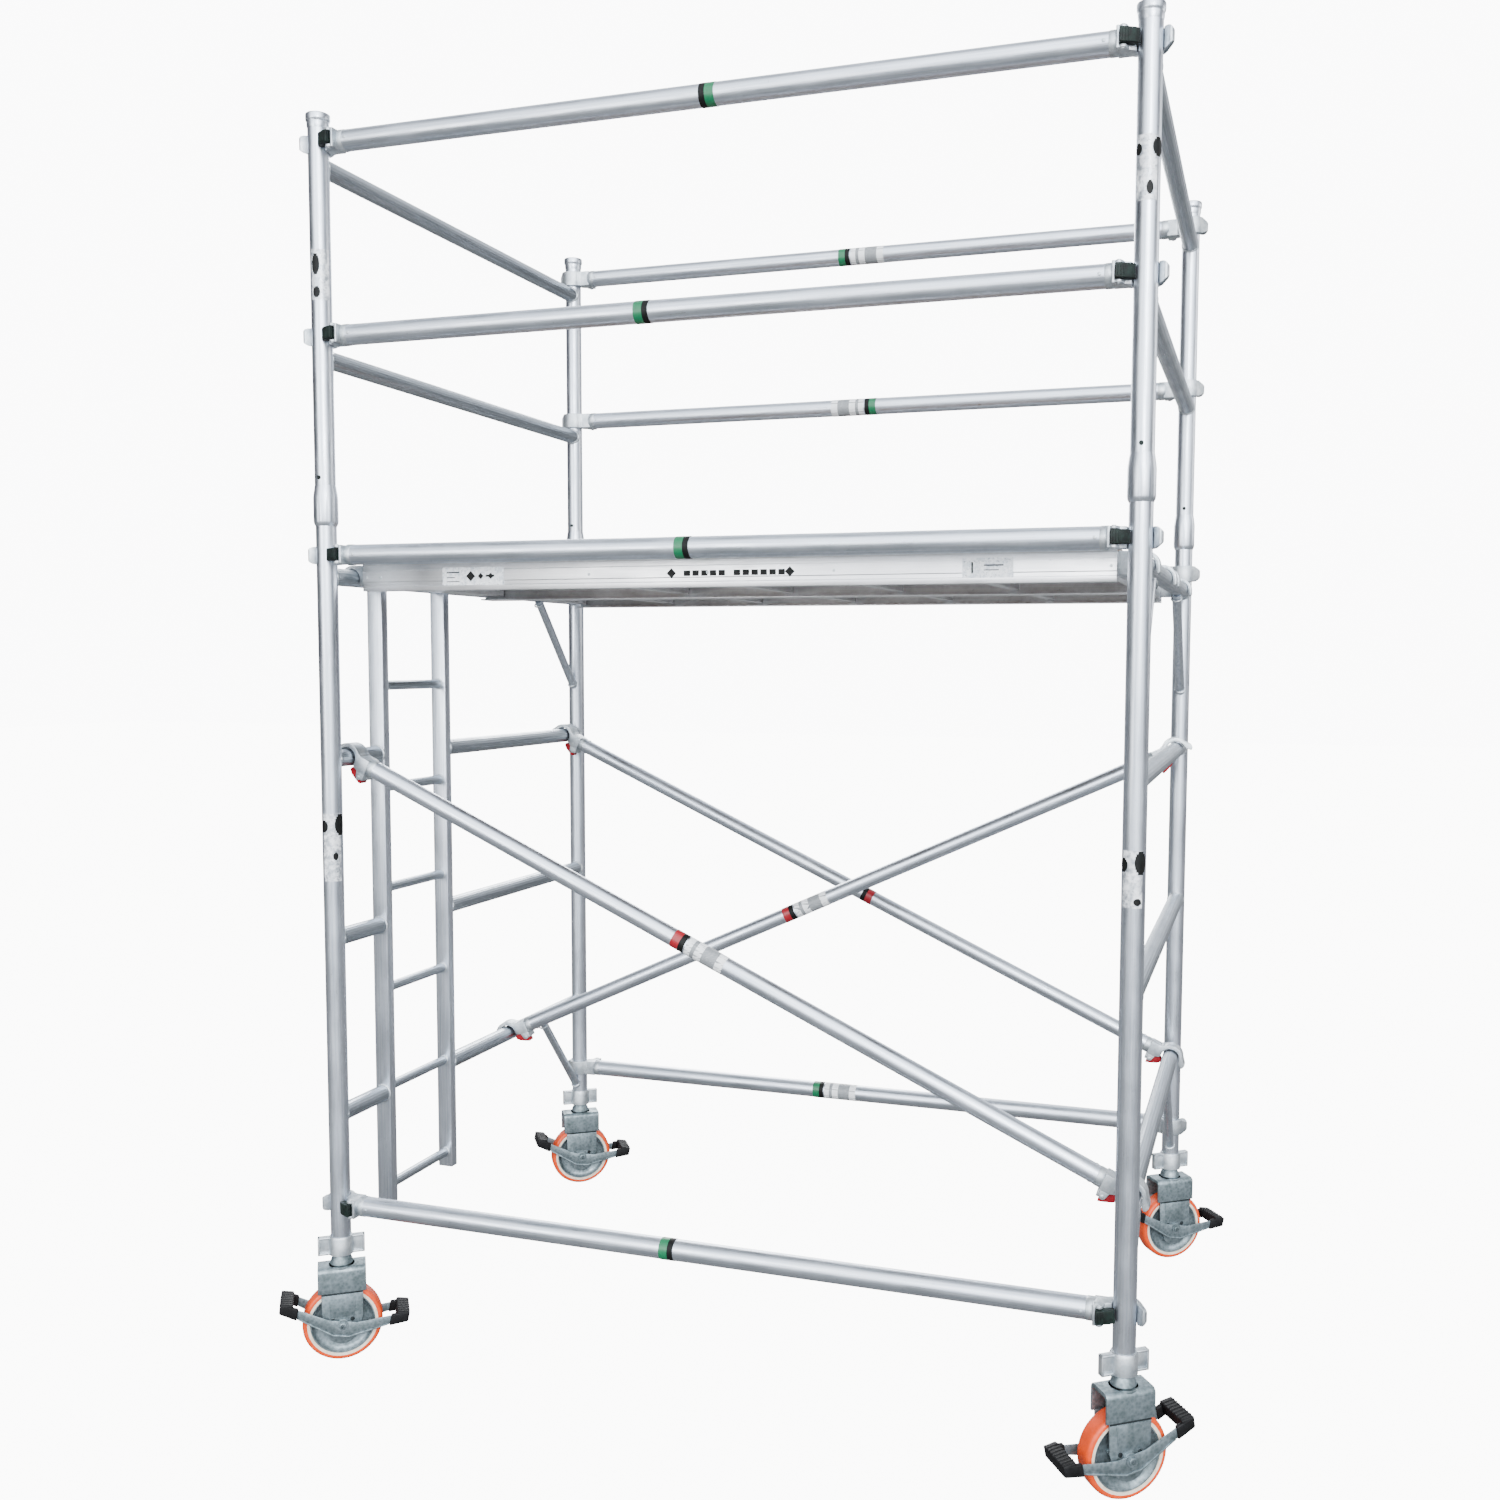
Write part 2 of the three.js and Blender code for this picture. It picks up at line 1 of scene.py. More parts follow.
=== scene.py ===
"""Looks of a mobile aluminium scaffold tower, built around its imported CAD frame."""
import math

import bmesh
import bpy
from mathutils import Matrix, Vector


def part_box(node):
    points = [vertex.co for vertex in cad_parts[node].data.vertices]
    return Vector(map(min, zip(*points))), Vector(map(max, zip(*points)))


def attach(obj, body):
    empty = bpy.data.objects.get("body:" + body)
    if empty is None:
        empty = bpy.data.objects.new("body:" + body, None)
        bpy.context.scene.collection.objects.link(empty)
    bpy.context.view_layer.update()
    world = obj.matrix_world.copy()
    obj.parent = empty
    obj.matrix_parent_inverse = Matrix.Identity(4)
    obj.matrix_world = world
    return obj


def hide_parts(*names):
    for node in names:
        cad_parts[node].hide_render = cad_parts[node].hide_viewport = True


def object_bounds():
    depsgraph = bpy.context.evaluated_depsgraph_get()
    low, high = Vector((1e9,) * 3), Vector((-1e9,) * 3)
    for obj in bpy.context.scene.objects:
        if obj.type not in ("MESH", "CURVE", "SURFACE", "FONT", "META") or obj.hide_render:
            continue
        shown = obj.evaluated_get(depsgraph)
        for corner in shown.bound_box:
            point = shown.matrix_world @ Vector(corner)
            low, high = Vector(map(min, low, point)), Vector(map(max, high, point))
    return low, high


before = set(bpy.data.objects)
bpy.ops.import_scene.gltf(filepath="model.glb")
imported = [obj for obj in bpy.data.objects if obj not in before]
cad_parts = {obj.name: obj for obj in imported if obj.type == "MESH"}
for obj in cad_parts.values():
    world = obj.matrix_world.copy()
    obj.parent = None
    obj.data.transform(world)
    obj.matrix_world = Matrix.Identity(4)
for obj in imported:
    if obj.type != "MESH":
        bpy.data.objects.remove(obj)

bl_info = {
    "name": "Scaffold Tower Looks",
    "version": (1, 0, 0),
    "blender": (4, 5, 0),
    "location": "View3D > Sidebar > Scaffold",
    "description": "Models the visible pieces of a mobile aluminium scaffold tower",
    "category": "Object",
}

CAD_LOW, CAD_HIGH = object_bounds()
MM = 0.001

# Places that the CAD nodes give
LADDER_LOW, LADDER_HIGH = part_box("ladder_frame")
END_LOW, END_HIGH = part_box("end_frame")
GUARD_LOW, GUARD_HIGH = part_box("guard_frame_left")
DECK_LOW, DECK_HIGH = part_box("deck_rear")
TOP_Z = CAD_HIGH.z
LADDER_X = (LADDER_LOW.x + LADDER_HIGH.x) / 2
END_X = (END_LOW.x + END_HIGH.x) / 2
UPRIGHT_R = (END_HIGH.x - END_LOW.x) / 2
HALF_W = END_HIGH.y - UPRIGHT_R
FOOT_Z = LADDER_LOW.z
JOINT_Z = GUARD_LOW.z
COLLAR_R = (GUARD_HIGH.x - GUARD_LOW.x) / 2
SPIGOT_TOP_Z = LADDER_HIGH.z

# Tubes and frames, in metres
UPRIGHT_WALL = 2.5 * MM
RUNG_R = 22.25 * MM
RUNG_WALL = 2.5 * MM
RUNG_END_INSET = 20 * MM
SLIM_R = 12.7 * MM
STEP_FLUTES = 14
STEP_FLUTE_DEPTH = 0.6 * MM
WELD_BEAD = 3.2 * MM
SLIM_BEAD = 2.6 * MM
WELD_RIPPLES = 19
SPIGOT_R = 22.2 * MM
SPIGOT_WALL = 3.7 * MM
SPIGOT_DEPTH = 110 * MM
FIRST_RUNG_Z = 645 * MM
RUNG_PITCH = 460 * MM
LOWER_RUNGS = [FIRST_RUNG_Z + i * RUNG_PITCH for i in range(4)]
DECK_RUNG_Z = LOWER_RUNGS[3]
GUARD_RUNGS = [2563 * MM, 3028 * MM]
STILE_Y = [-466 * MM, -166 * MM]
STILE_DEPTH = 45 * MM
STILE_WIDTH = 28 * MM
STILE_BORE_INSET = 12 * MM
STILE_HOLLOW = 120 * MM
STILE_FOOT_Z = 340 * MM
STEP_ZS = [(383 + 273 * i) * MM for i in range(6)]
KNEE_REACH = 268 * MM
KNEE_SLOPE = 1.213
KNEE_END_INSET = 26 * MM
COLLAR_HEIGHT = 98 * MM
COLLAR_CRIMPS = 8
MOUTH_RING_HEIGHT = 36 * MM
LOCK_PIN_Z = JOINT_Z + 116 * MM

# Claws and braces
CLAW_HEIGHT = 46 * MM
CLAW_BLOCK_END = -66 * MM
PIVOT = (-52 * MM, -31 * MM)
CLAW_LIP = 48 * MM
TRIGGER_HEIGHT = 30 * MM
BRACE_RISE = 52 * MM
DIAGONAL_Y = 590 * MM
RAIL_HEIGHTS = {
    "base": 410 * MM,
    "deck": DECK_RUNG_Z + BRACE_RISE,
    "mid": GUARD_RUNGS[0] + BRACE_RISE,
    "top": GUARD_RUNGS[1] + BRACE_RISE,
}
BAND_X = {
    "front_top": 35 * MM, "front_mid": -127 * MM, "front_deck": -28 * MM, "front_base": -73 * MM,
    "back_top": -50 * MM, "back_mid": 38 * MM, "back_base": -123 * MM, "back_deck": 60 * MM,
    "diagonal_front": -77 * MM, "diagonal_middle": -112 * MM, "diagonal_back": 61 * MM,
}
# Bands whose black turn is at their left, and the side on which a sticker follows the band
BLACK_AT_LEFT = ("front_top", "back_mid", "diagonal_back")
STICKER_SIDE = {
    "back_top": 1, "back_mid": -1, "back_base": 1, "diagonal_front": 1, "diagonal_middle": 1,
}
STICKER_LENGTH = 105 * MM
BAND_SIDES = 44

# Deck units
DECK_HALF_LENGTH = 945 * MM
DECK_TOP_Z = DECK_HIGH.z
DECK_BOTTOM_Z = DECK_LOW.z
DECK_EDGES_Y = (5 * MM, 605 * MM)
BEAM_WIDTH = 28 * MM
BEAM_WALL = 4 * MM
MEMBER_HALF_WIDTH = 12 * MM
MEMBER_PITCH = 310 * MM
BOARD_THICKNESS = 9 * MM
BOARD_SINK = 1 * MM
HOOK_OFFSET = 250 * MM
HOOK_WIDTH = 40 * MM
TRAP_X = (-880 * MM, -320 * MM)
HINGE_R = 3.8 * MM
HINGE_HALF_LENGTH = 35 * MM
HINGE_OFFSETS = (-180 * MM, 0, 180 * MM)

# Castors
CASTOR_TURN = math.radians(36)
WHEEL_R = 100 * MM
WHEEL_HALF_WIDTH = 25 * MM
FORK_HALF_WIDTH = 36 * MM
HOOD_LENGTH = 120 * MM
HEAD_TOP_Z = 250 * MM
THREAD_TURNS = 53
THREAD_PITCH = 8 * MM
PEDAL_REACH = 150 * MM
PEDAL_RISE = 34 * MM
PEDAL_ARM_Y = FORK_HALF_WIDTH + 6 * MM
PEDAL_ROCK = math.radians(11)
CORNERS = {
    "front_left": (LADDER_X, -HALF_W, 1),
    "front_right": (END_X, -HALF_W, -1),
    "back_left": (LADDER_X, HALF_W, 1),
    "back_right": (END_X, HALF_W, 1),
}

# The stage: how bright floor and backdrop look to the camera, and the room's own light
WHITE_GLOW = 11.0
ROOM_GLOW = 0.07
# Each soft glow's direction, the facing at which it starts, and its strength
SOFT_GLOWS = (((0.3, -0.8, 0.5), 0.4, 5.8), ((-0.25, 0.8, 0.55), 0.5, 2.2))
# Each soft box's place, size and power
LAMPS = {
    "key": ((3.4, -7.0, 4.2), 2.6, 420),
    "fill": ((-3.0, -6.5, 2.6), 2.6, 160),
    "back": ((-3.0, 6.5, 4.4), 3.0, 380),
    "side": ((6.0, 3.0, 3.6), 3.0, 120),
}
LAMP_TARGET = Vector((0, 0, 1.5))
CAMERA_PLACE = (1.2903, -3.7874, 1.8198)
CAMERA_TURN = (-0.315655, -0.0746985, 0.0036463)  # yaw, pitch and roll in radians
CAMERA_SHIFT = (-0.0390, 0.0123)
SENSOR_MM = 36
LENS_MM = 34.80

# Turns of a flat outline: on its edge facing the front, and drawn out along X
ON_EDGE = Matrix.Rotation(math.radians(90), 4, "X")
ALONG_X = Matrix(((0, 0, 1, 0), (1, 0, 0, 0), (0, 1, 0, 0), (0, 0, 0, 1)))


# ---------- working in the viewport ----------
def start_fresh():
    """Object mode with nothing selected."""
    if bpy.context.object and bpy.context.object.mode != "OBJECT":
        bpy.ops.object.mode_set(mode="OBJECT")
    bpy.ops.object.select_all(action="DESELECT")


def hold(piece):
    """Makes a piece the only selected and active one."""
    start_fresh()
    piece.select_set(True)
    bpy.context.view_layer.objects.active = piece


def settle():
    """Bakes the new primitive's place, turn and scale into its mesh."""
    bpy.ops.object.transform_apply(location=True, rotation=True, scale=True)
    return bpy.context.object


def join(pieces):
    hold(pieces[0])
    for piece in pieces[1:]:
        piece.select_set(True)
    if len(pieces) > 1:
        bpy.ops.object.join()
    return bpy.context.object


def pick_faces(piece, wanted):
    """Edit mode with only the wanted faces selected."""
    bpy.ops.object.mode_set(mode="EDIT")
    bpy.ops.mesh.select_all(action="DESELECT")
    mesh = bmesh.from_edit_mesh(piece.data)
    for face in mesh.faces:
        face.select_set(wanted(face))
    bmesh.update_edit_mesh(piece.data)


def tidy_mesh(piece, merge=1e-5):
    """Merges doubles and turns every face outwards."""
    hold(piece)
    bpy.ops.object.mode_set(mode="EDIT")
    bpy.ops.mesh.select_all(action="SELECT")
    bpy.ops.mesh.remove_doubles(threshold=merge)
    bpy.ops.mesh.normals_make_consistent(inside=False)
    bpy.ops.object.mode_set(mode="OBJECT")


def bevel(piece, width, segments=2, angle=40):
    hold(piece)
    edge = piece.modifiers.new("rounded edges", "BEVEL")
    edge.width = width
    edge.segments = segments
    edge.limit_method = "ANGLE"
    edge.angle_limit = math.radians(angle)
    bpy.ops.object.modifier_apply(modifier=edge.name)


def twin(piece, matrix):
    """A copy with a mesh of its own, moved by a matrix."""
    copied = piece.copy()
    copied.data = piece.data.copy()
    copied.data.transform(matrix)
    if matrix.determinant() < 0:
        copied.data.flip_normals()
    bpy.context.collection.objects.link(copied)
    return copied


def drop(piece):
    bpy.data.objects.remove(piece)


def placed(piece, matrix):
    """The piece itself, moved by a matrix."""
    moved = twin(piece, matrix)
    drop(piece)
    return moved


def paint(piece, finish):
    piece.data.materials.clear()
    piece.data.materials.append(finish_of(finish))
    return piece


def board_faces(piece):
    """Wood on every face, with the rough film on those that look up."""
    for finish in ("ply", "deck top"):
        piece.data.materials.append(finish_of(finish))
    for face in piece.data.polygons:
        face.material_index = int(face.normal.z > 0.9)


def hand_over(pieces, finish, name, body, replaced=(), smooth=35):
    """Joins the pieces under one name and hands them to the frame; no finish keeps their own."""
    piece = join(pieces)
    if finish:
        paint(piece, finish)
    hold(piece)
    piece.name = name
    piece.data.name = name
    bpy.ops.object.shade_smooth_by_angle(angle=math.radians(smooth))
    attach(piece, body)
    if replaced:
        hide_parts(*replaced)


# ---------- forms ----------
def in_mm(*points):
    """Points given in millimetres, as metres."""
    return [tuple(value * MM for value in point) for point in points]


def solid_rod(start, end, radius, sides=40):
    start, end = Vector(start), Vector(end)
    along = end - start
    start_fresh()
    bpy.ops.mesh.primitive_cylinder_add(
        vertices=sides,
        radius=radius,
        depth=along.length,
        location=(start + end) / 2,
        rotation=along.to_track_quat("Z", "X").to_euler(),
    )
    return settle()


def stud(start, end, radius, sides, edge=0.8 * MM):
    """A short rod with rounded rims, for rivets, bosses and bolt heads."""
    piece = solid_rod(start, end, radius, sides)
    bevel(piece, edge)
    return piece


def pipe(start, end, radius, wall, sides=40):
    """A tube with its bore: both ends inset by the wall and bridged through."""
    piece = solid_rod(start, end, radius, sides)
    pick_faces(piece, lambda face: len(face.verts) == sides)
    bpy.ops.mesh.inset(thickness=wall, use_individual=True)
    bpy.ops.mesh.bridge_edge_loops()
    bpy.ops.object.mode_set(mode="OBJECT")
    return piece


def fluted_pipe(start, end, radius, wall, flutes=20, depth=0.7 * MM):
    """A tube whose outside has shallow lengthwise grooves for grip."""
    piece = pipe(start, end, radius, wall, sides=flutes * 4)
    along = (Vector(end) - Vector(start)).normalized()
    for i, corner in enumerate(piece.data.vertices):
        reach = corner.co - Vector(start)
        out = reach - along * reach.dot(along)
        if out.length > radius - wall / 2 and i % 8 in (0, 1):
            corner.co -= out.normalized() * depth
    return piece


def block(low, high, edge=0.0, segments=2):
    low, high = Vector(low), Vector(high)
    start_fresh()
    bpy.ops.mesh.primitive_cube_add(size=1, location=(low + high) / 2, scale=high - low)
    piece = settle()
    if edge:
        bevel(piece, edge, segments)
    return piece


def plate(outline, thickness, edge=0.0, segments=2):
    """A flat outline in the XY plane, pulled out to a thickness centred on z = 0."""
    start_fresh()
    bpy.ops.mesh.primitive_circle_add(vertices=len(outline), radius=1, fill_type="NGON")
    piece = bpy.context.object
    for corner, (x, y) in zip(piece.data.vertices, outline):
        corner.co = (x, y, -thickness / 2)
    bpy.ops.object.mode_set(mode="EDIT")
    bpy.ops.mesh.select_all(action="SELECT")
    bpy.ops.mesh.extrude_region_move(TRANSFORM_OT_translate={"value": (0, 0, thickness)})
    bpy.ops.object.mode_set(mode="OBJECT")
    tidy_mesh(piece)
    if edge:
        bevel(piece, edge, segments)
    return piece


def turned(profile, steps=48):
    """A closed (radius, height) profile spun about Z."""
    start_fresh()
    bpy.ops.mesh.primitive_circle_add(vertices=len(profile), radius=1, fill_type="NOTHING")
    piece = bpy.context.object
    for corner, (radius, height) in zip(piece.data.vertices, profile):
        corner.co = (radius, 0, height)
    spin = piece.modifiers.new("lathe", "SCREW")
    spin.angle = 2 * math.pi
    spin.steps = steps
    spin.render_steps = steps
    spin.use_merge_vertices = True
    spin.merge_threshold = 1e-6
    bpy.ops.object.modifier_apply(modifier=spin.name)
    tidy_mesh(piece)
    return piece


def mirrored(profile):
    """A profile's lower half followed by the same half turned up."""
    return profile + [(radius, -height) for radius, height in reversed(profile)]


def arc(centre, radius, first, last, steps):
    """Points on an arc, by its first and last angle in degrees."""
    turns = [math.radians(first + (last - first) * i / steps) for i in range(steps + 1)]
    return [(centre[0] + radius * math.cos(t), centre[1] + radius * math.sin(t)) for t in turns]


def weld_bead(place, along, tube_r, post_r=None, bead=WELD_BEAD):
    """A rippled fillet where a tube meets an upright (post_r) or a flat face."""
    along = Vector(along).normalized()
    start_fresh()
    bpy.ops.mesh.primitive_torus_add(
        major_radius=tube_r,
        minor_radius=bead,
        major_segments=56,
        minor_segments=8,
        location=place,
        rotation=along.to_track_quat("Z", "Y").to_euler(),
    )
    piece = settle()
    centre = Vector(place)
    side = along.cross(Vector((0, 0, 1))).normalized()
    for corner in piece.data.vertices:
        out = corner.co - centre
        across = out.dot(side)
        turn = math.atan2(out.z, across)
        corner.co += along * 0.5 * MM * math.sin(turn * WELD_RIPPLES)
        if post_r:
            reach = min(abs(across), tube_r)
            corner.co += along * (math.sqrt(post_r**2 - reach**2) - post_r)
    return piece


# ---------- materials ----------
def hex_color(tone):
    """An sRGB hex value as linear RGBA; a link or a linear colour stays as it is."""
    if not isinstance(tone, str):
        return tone
    channels = [int(tone[i : i + 2], 16) / 255 for i in (1, 3, 5)]
    linear = [c / 12.92 if c <= 0.04045 else ((c + 0.055) / 1.055) ** 2.4 for c in channels]
    return (*linear, 1.0)


def setting(name):
    return getattr(bpy.context.scene.scaffold_tower, name)


def chosen(name, share=1.0):
    """A colour of the settings, made darker by a share, as linear RGBA."""
    return (*(channel * share for channel in setting(name)), 1.0)


def add_node(tree, kind, settings=None, inputs=None):
    """Adds a node, sets its settings and fills its inputs with values or links."""
    made = tree.nodes.new(kind)
    for name, value in (settings or {}).items():
        setattr(made, name, value)
    for name, value in (inputs or {}).items():
        if isinstance(value, bpy.types.NodeSocket):
            tree.links.new(value, made.inputs[name])
        else:
            made.inputs[name].default_value = value
    return made


def new_surface(name):
    """A material whose tree holds only its shader and output."""
    material = bpy.data.materials.new(name)
    material.use_nodes = True
    tree = material.node_tree
    tree.nodes.clear()
    shader = add_node(tree, "ShaderNodeBsdfPrincipled", {"name": "shader"})
    add_node(tree, "ShaderNodeOutputMaterial", None, {"Surface": shader.outputs[0]})
    return material, tree


def along_axis(tree, direction, stretch):
    """The piece's own coordinates, turned along a direction and squeezed there into streaks."""
    place = add_node(tree, "ShaderNodeTexCoord").outputs["Object"]
    turn = Vector(direction).normalized().to_track_quat("X", "Z").to_euler()
    wanted = {"Vector": place, "Rotation": turn, "Scale": (stretch, 1, 1)}
    mapping = add_node(tree, "ShaderNodeMapping", {"vector_type": "TEXTURE"}, wanted)
    return mapping.outputs["Vector"]


def grain(tree, size_mm, detail=3.0, rough=0.55, place=None):
    """An uneven pattern whose grains are about size_mm across, on the piece's coordinates."""
    if place is None:
        place = add_node(tree, "ShaderNodeTexCoord").outputs["Object"]
    wanted = {"Vector": place, "Scale": 1 / (size_mm * MM), "Detail": detail, "Roughness": rough}
    return add_node(tree, "ShaderNodeTexNoise", {"noise_dimensions": "3D"}, wanted).outputs["Fac"]


def layer(tree, pattern, low, high, share, under, over):
    """Lays a tone over another, by up to a share, as the pattern rises from low to high."""
    wanted = {"Value": pattern, 1: low, 2: high, 3: 0.0, 4: share}
    cover = add_node(tree, "ShaderNodeMapRange", None, wanted).outputs["Result"]
    wanted = {"Factor": cover, 6: hex_color(under), 7: hex_color(over)}
    return add_node(tree, "ShaderNodeMix", {"data_type": "RGBA"}, wanted).outputs[2]


def dress(tree, color, roughness, relief=None, values=None):
    """Gives the shader its colour, its roughness as a sum of patterns, a relief and plain values.

    A roughness row is the pattern, its low and high value, and the roughness at each of them.
    A relief is the pattern, its strength and its height in millimetres.
    """
    shader = tree.nodes["shader"]
    tree.links.new(color, shader.inputs["Base Color"])
    total = None
    for pattern, low, high, at_low, at_high in roughness:
        wanted = {"Value": pattern, 1: low, 2: high, 3: at_low, 4: at_high}
        part = add_node(tree, "ShaderNodeMapRange", None, wanted).outputs["Result"]
        if total is not None:
            wanted = {0: total, 1: part}
            part = add_node(tree, "ShaderNodeMath", {"operation": "ADD"}, wanted).outputs[0]
        total = part
    tree.links.new(total, shader.inputs["Roughness"])
    if relief:
        pattern, strength, height_mm = relief
        wanted = {"Height": pattern, "Strength": strength, "Distance": height_mm * MM}
        bump = add_node(tree, "ShaderNodeBump", None, wanted)
        tree.links.new(bump.outputs["Normal"], shader.inputs["Normal"])
    for name, value in (values or {}).items():
        shader.inputs[name].default_value = value


def drawn_aluminium(name, direction, dark="#b9c2ce", light="#e6ebf2"):
    """Mill-finish tube: die lines run along it, with handling scuffs and dull blotches."""
    material, tree = new_surface(name)
    lines = along_axis(tree, direction, 60)
    streak = grain(tree, 4.0, 4.0, 0.6, lines)
    fine = grain(tree, 1.4, 2.0, 0.55, lines)
    blotch = grain(tree, 120)
    scuff = grain(tree, 9, 5.0, 0.7)
    base = layer(tree, streak, 0.25, 0.75, 1.0, dark, light)
    color = layer(tree, scuff, 0.6, 0.75, 0.4, base, "#98a0a8")
    roughness = [(blotch, 0.35, 0.7, 0.3, 0.42), (fine, 0.3, 0.7, -0.04, 0.08)]
    dress(tree, color, roughness, (fine, 0.25, 0.15), {"Metallic": 1.0})
    return material


def cast_aluminium():
    """Sand-cast alloy: a pale grey with a grain that breaks up the reflections."""
    material, tree = new_surface("sand-cast aluminium")
    sand = grain(tree, 1.8, 4.0, 0.6)
    color = layer(tree, grain(tree, 25), 0.35, 0.65, 1.0, "#aeb6bb", "#d6dbde")
    dress(tree, color, [(sand, 0.3, 0.7, 0.4, 0.6)], (sand, 0.5, 0.3), {"Metallic": 1.0})
    return material


def zinc_plate():
    """Dull zinc on pressed steel: a grey-green with faint crystals and darker handling marks."""
    material, tree = new_surface("zinc-plated steel")
    place = add_node(tree, "ShaderNodeTexCoord").outputs["Object"]
    wanted = {"Vector": place, "Scale": 1 / (9 * MM)}
    crystal = add_node(tree, "ShaderNodeTexVoronoi", {"feature": "F1"}, wanted).outputs["Distance"]
    patch = grain(tree, 30, 4.0, 0.6)
    base = layer(tree, crystal, 0.0, 0.9, 1.0, "#717f84", "#9ba9af")
    color = layer(tree, patch, 0.42, 0.72, 0.75, base, "#4b5655")
    dress(tree, color, [(patch, 0.3, 0.7, 0.38, 0.58)], (patch, 0.2, 0.3), {"Metallic": 0.85})
    return material


def moulded_nylon(name, light, dark):
    """Glass-filled nylon: nearly matte, a fine spark-eroded texture and paler rubbed spots."""
    material, tree = new_surface(name)
    skin = grain(tree, 0.9)
    color = layer(tree, grain(tree, 14, 4.0, 0.65), 0.4, 0.7, 1.0, dark, light)
    dress(tree, color, [(skin, 0.3, 0.7, 0.5, 0.7)], (skin, 0.35, 0.12),
          {"IOR": 1.52, "Specular IOR Level": 0.22})
    return material


def polyurethane_tread():
    """Cast orange polyurethane: smooth and slightly waxy, with dust picked up where it rolls."""
    material, tree = new_surface("cast polyurethane")
    dust = grain(tree, 5, 5.0, 0.7)
    shaded, full = chosen("tread_color", 0.78), chosen("tread_color")
    base = layer(tree, grain(tree, 22, 4.0), 0.35, 0.65, 1.0, shaded, full)
    color = layer(tree, dust, 0.62, 0.85, 0.35, base, "#a8603e")
    dress(tree, color, [(dust, 0.35, 0.7, 0.3, 0.55)], (dust, 0.15, 0.2), {"IOR": 1.5})
    return material


def pale_ring():
    """The cream bonding ring between tread and wheel centre."""
    material, tree = new_surface("cream bonding ring")
    stain = grain(tree, 12, 4.0, 0.6)
    color = layer(tree, stain, 0.4, 0.75, 1.0, "#eadfcd", "#c9b79f")
    dress(tree, color, [(stain, 0.3, 0.7, 0.4, 0.6)])
    return material


def vinyl_band(name, light, dark):
    """Marker tape wound on the tube: even colour, a soft gloss and slightly scratched."""
    material, tree = new_surface(name)
    scratch = grain(tree, 1.6, 4.0, 0.7, along_axis(tree, (1, 0.3, 0.2), 12))
    color = layer(tree, scratch, 0.5, 0.75, 1.0, dark, light)
    dress(tree, color, [(scratch, 0.3, 0.7, 0.3, 0.5)], None, {"IOR": 1.54})
    return material


def film_faced_ply():
    """Phenolic film on birch ply: warm brown, faint grain of the veneer along the board."""
    material, tree = new_surface("film-faced plywood")
    veneer = grain(tree, 7, 5.0, 0.65, along_axis(tree, (1, 0, 0), 18))
    fleck = grain(tree, 1.6, 3.0, 0.55, along_axis(tree, (1, 0, 0), 8))
    base = layer(tree, veneer, 0.3, 0.7, 1.0, "#7d6b60", "#a6968a")
    color = layer(tree, fleck, 0.55, 0.8, 0.4, base, "#574238")
    dress(tree, color, [(veneer, 0.3, 0.7, 0.45, 0.65)], (fleck, 0.2, 0.15))
    return material


def slip_resistant_film():
    """The same board's top: a pressed wire-mesh pattern of about 6 mm, dusty from boots."""
    material, tree = new_surface("slip-resistant film")
    place = add_node(tree, "ShaderNodeTexCoord").outputs["Object"]
    wanted = {"Vector": place, "Scale": 1 / (6 * MM), "Randomness": 0.0}
    cell = add_node(tree, "ShaderNodeTexVoronoi", {"feature": "DISTANCE_TO_EDGE"}, wanted)
    wanted = {"Value": cell.outputs["Distance"], 1: 0.0, 2: 0.14, 3: 1.0, 4: 0.0}
    ridge = add_node(tree, "ShaderNodeMapRange", None, wanted).outputs["Result"]
    dust = grain(tree, 60, 6.0, 0.65)
    base = layer(tree, dust, 0.4, 0.7, 1.0, "#4a382f", "#8b7a6d")
    color = layer(tree, ridge, 0.0, 1.0, 1.0, base, "#5b4a40")
    dress(tree, color, [(dust, 0.3, 0.7, 0.55, 0.8)], (ridge, 0.6, 0.5))
    return material


def printed_label():
    """A paper sticker: white, with plain grey bars and a bar code in place of any wording."""
    material, tree = new_surface("printed label")
    rows = add_node(tree, "ShaderNodeTexBrick", {"offset": 0.37}, {
        "Vector": along_axis(tree, (0, 0, 1), 1), "Scale": 1 / (14 * MM),
        "Color1": hex_color("#555b60"), "Color2": hex_color("#ebeef0"),
        "Mortar": hex_color("#f0f2f3"), "Mortar Size": 0.12, "Brick Width": 0.9, "Row Height": 0.32,
    })
    wear = grain(tree, 16, 4.0)
    color = layer(tree, wear, 0.45, 0.75, 0.6, rows.outputs["Color"], "#d9dcdb")
    dress(tree, color, [(wear, 0.3, 0.7, 0.35, 0.55)])
    return material


def worn_film():
    """A clear sticker gone cloudy: the tube's own sheen shows through between pale blots."""
    material, tree = new_surface("worn clear sticker")
    cloud = grain(tree, 13, 4.0, 0.6)
    flake = grain(tree, 5, 5.0, 0.7)
    base = layer(tree, cloud, 0.38, 0.6, 1.0, "#b3bac1", "#f3f5f7")
    color = layer(tree, flake, 0.56, 0.66, 0.8, base, "#6f787f")
    dress(tree, color, [(flake, 0.3, 0.7, 0.3, 0.5)])
    wanted = {"Value": cloud, 1: 0.38, 2: 0.6, 3: 0.75, 4: 0.1}
    sheen = add_node(tree, "ShaderNodeMapRange", None, wanted).outputs["Result"]
    tree.links.new(sheen, tree.nodes["shader"].inputs["Metallic"])
    return material


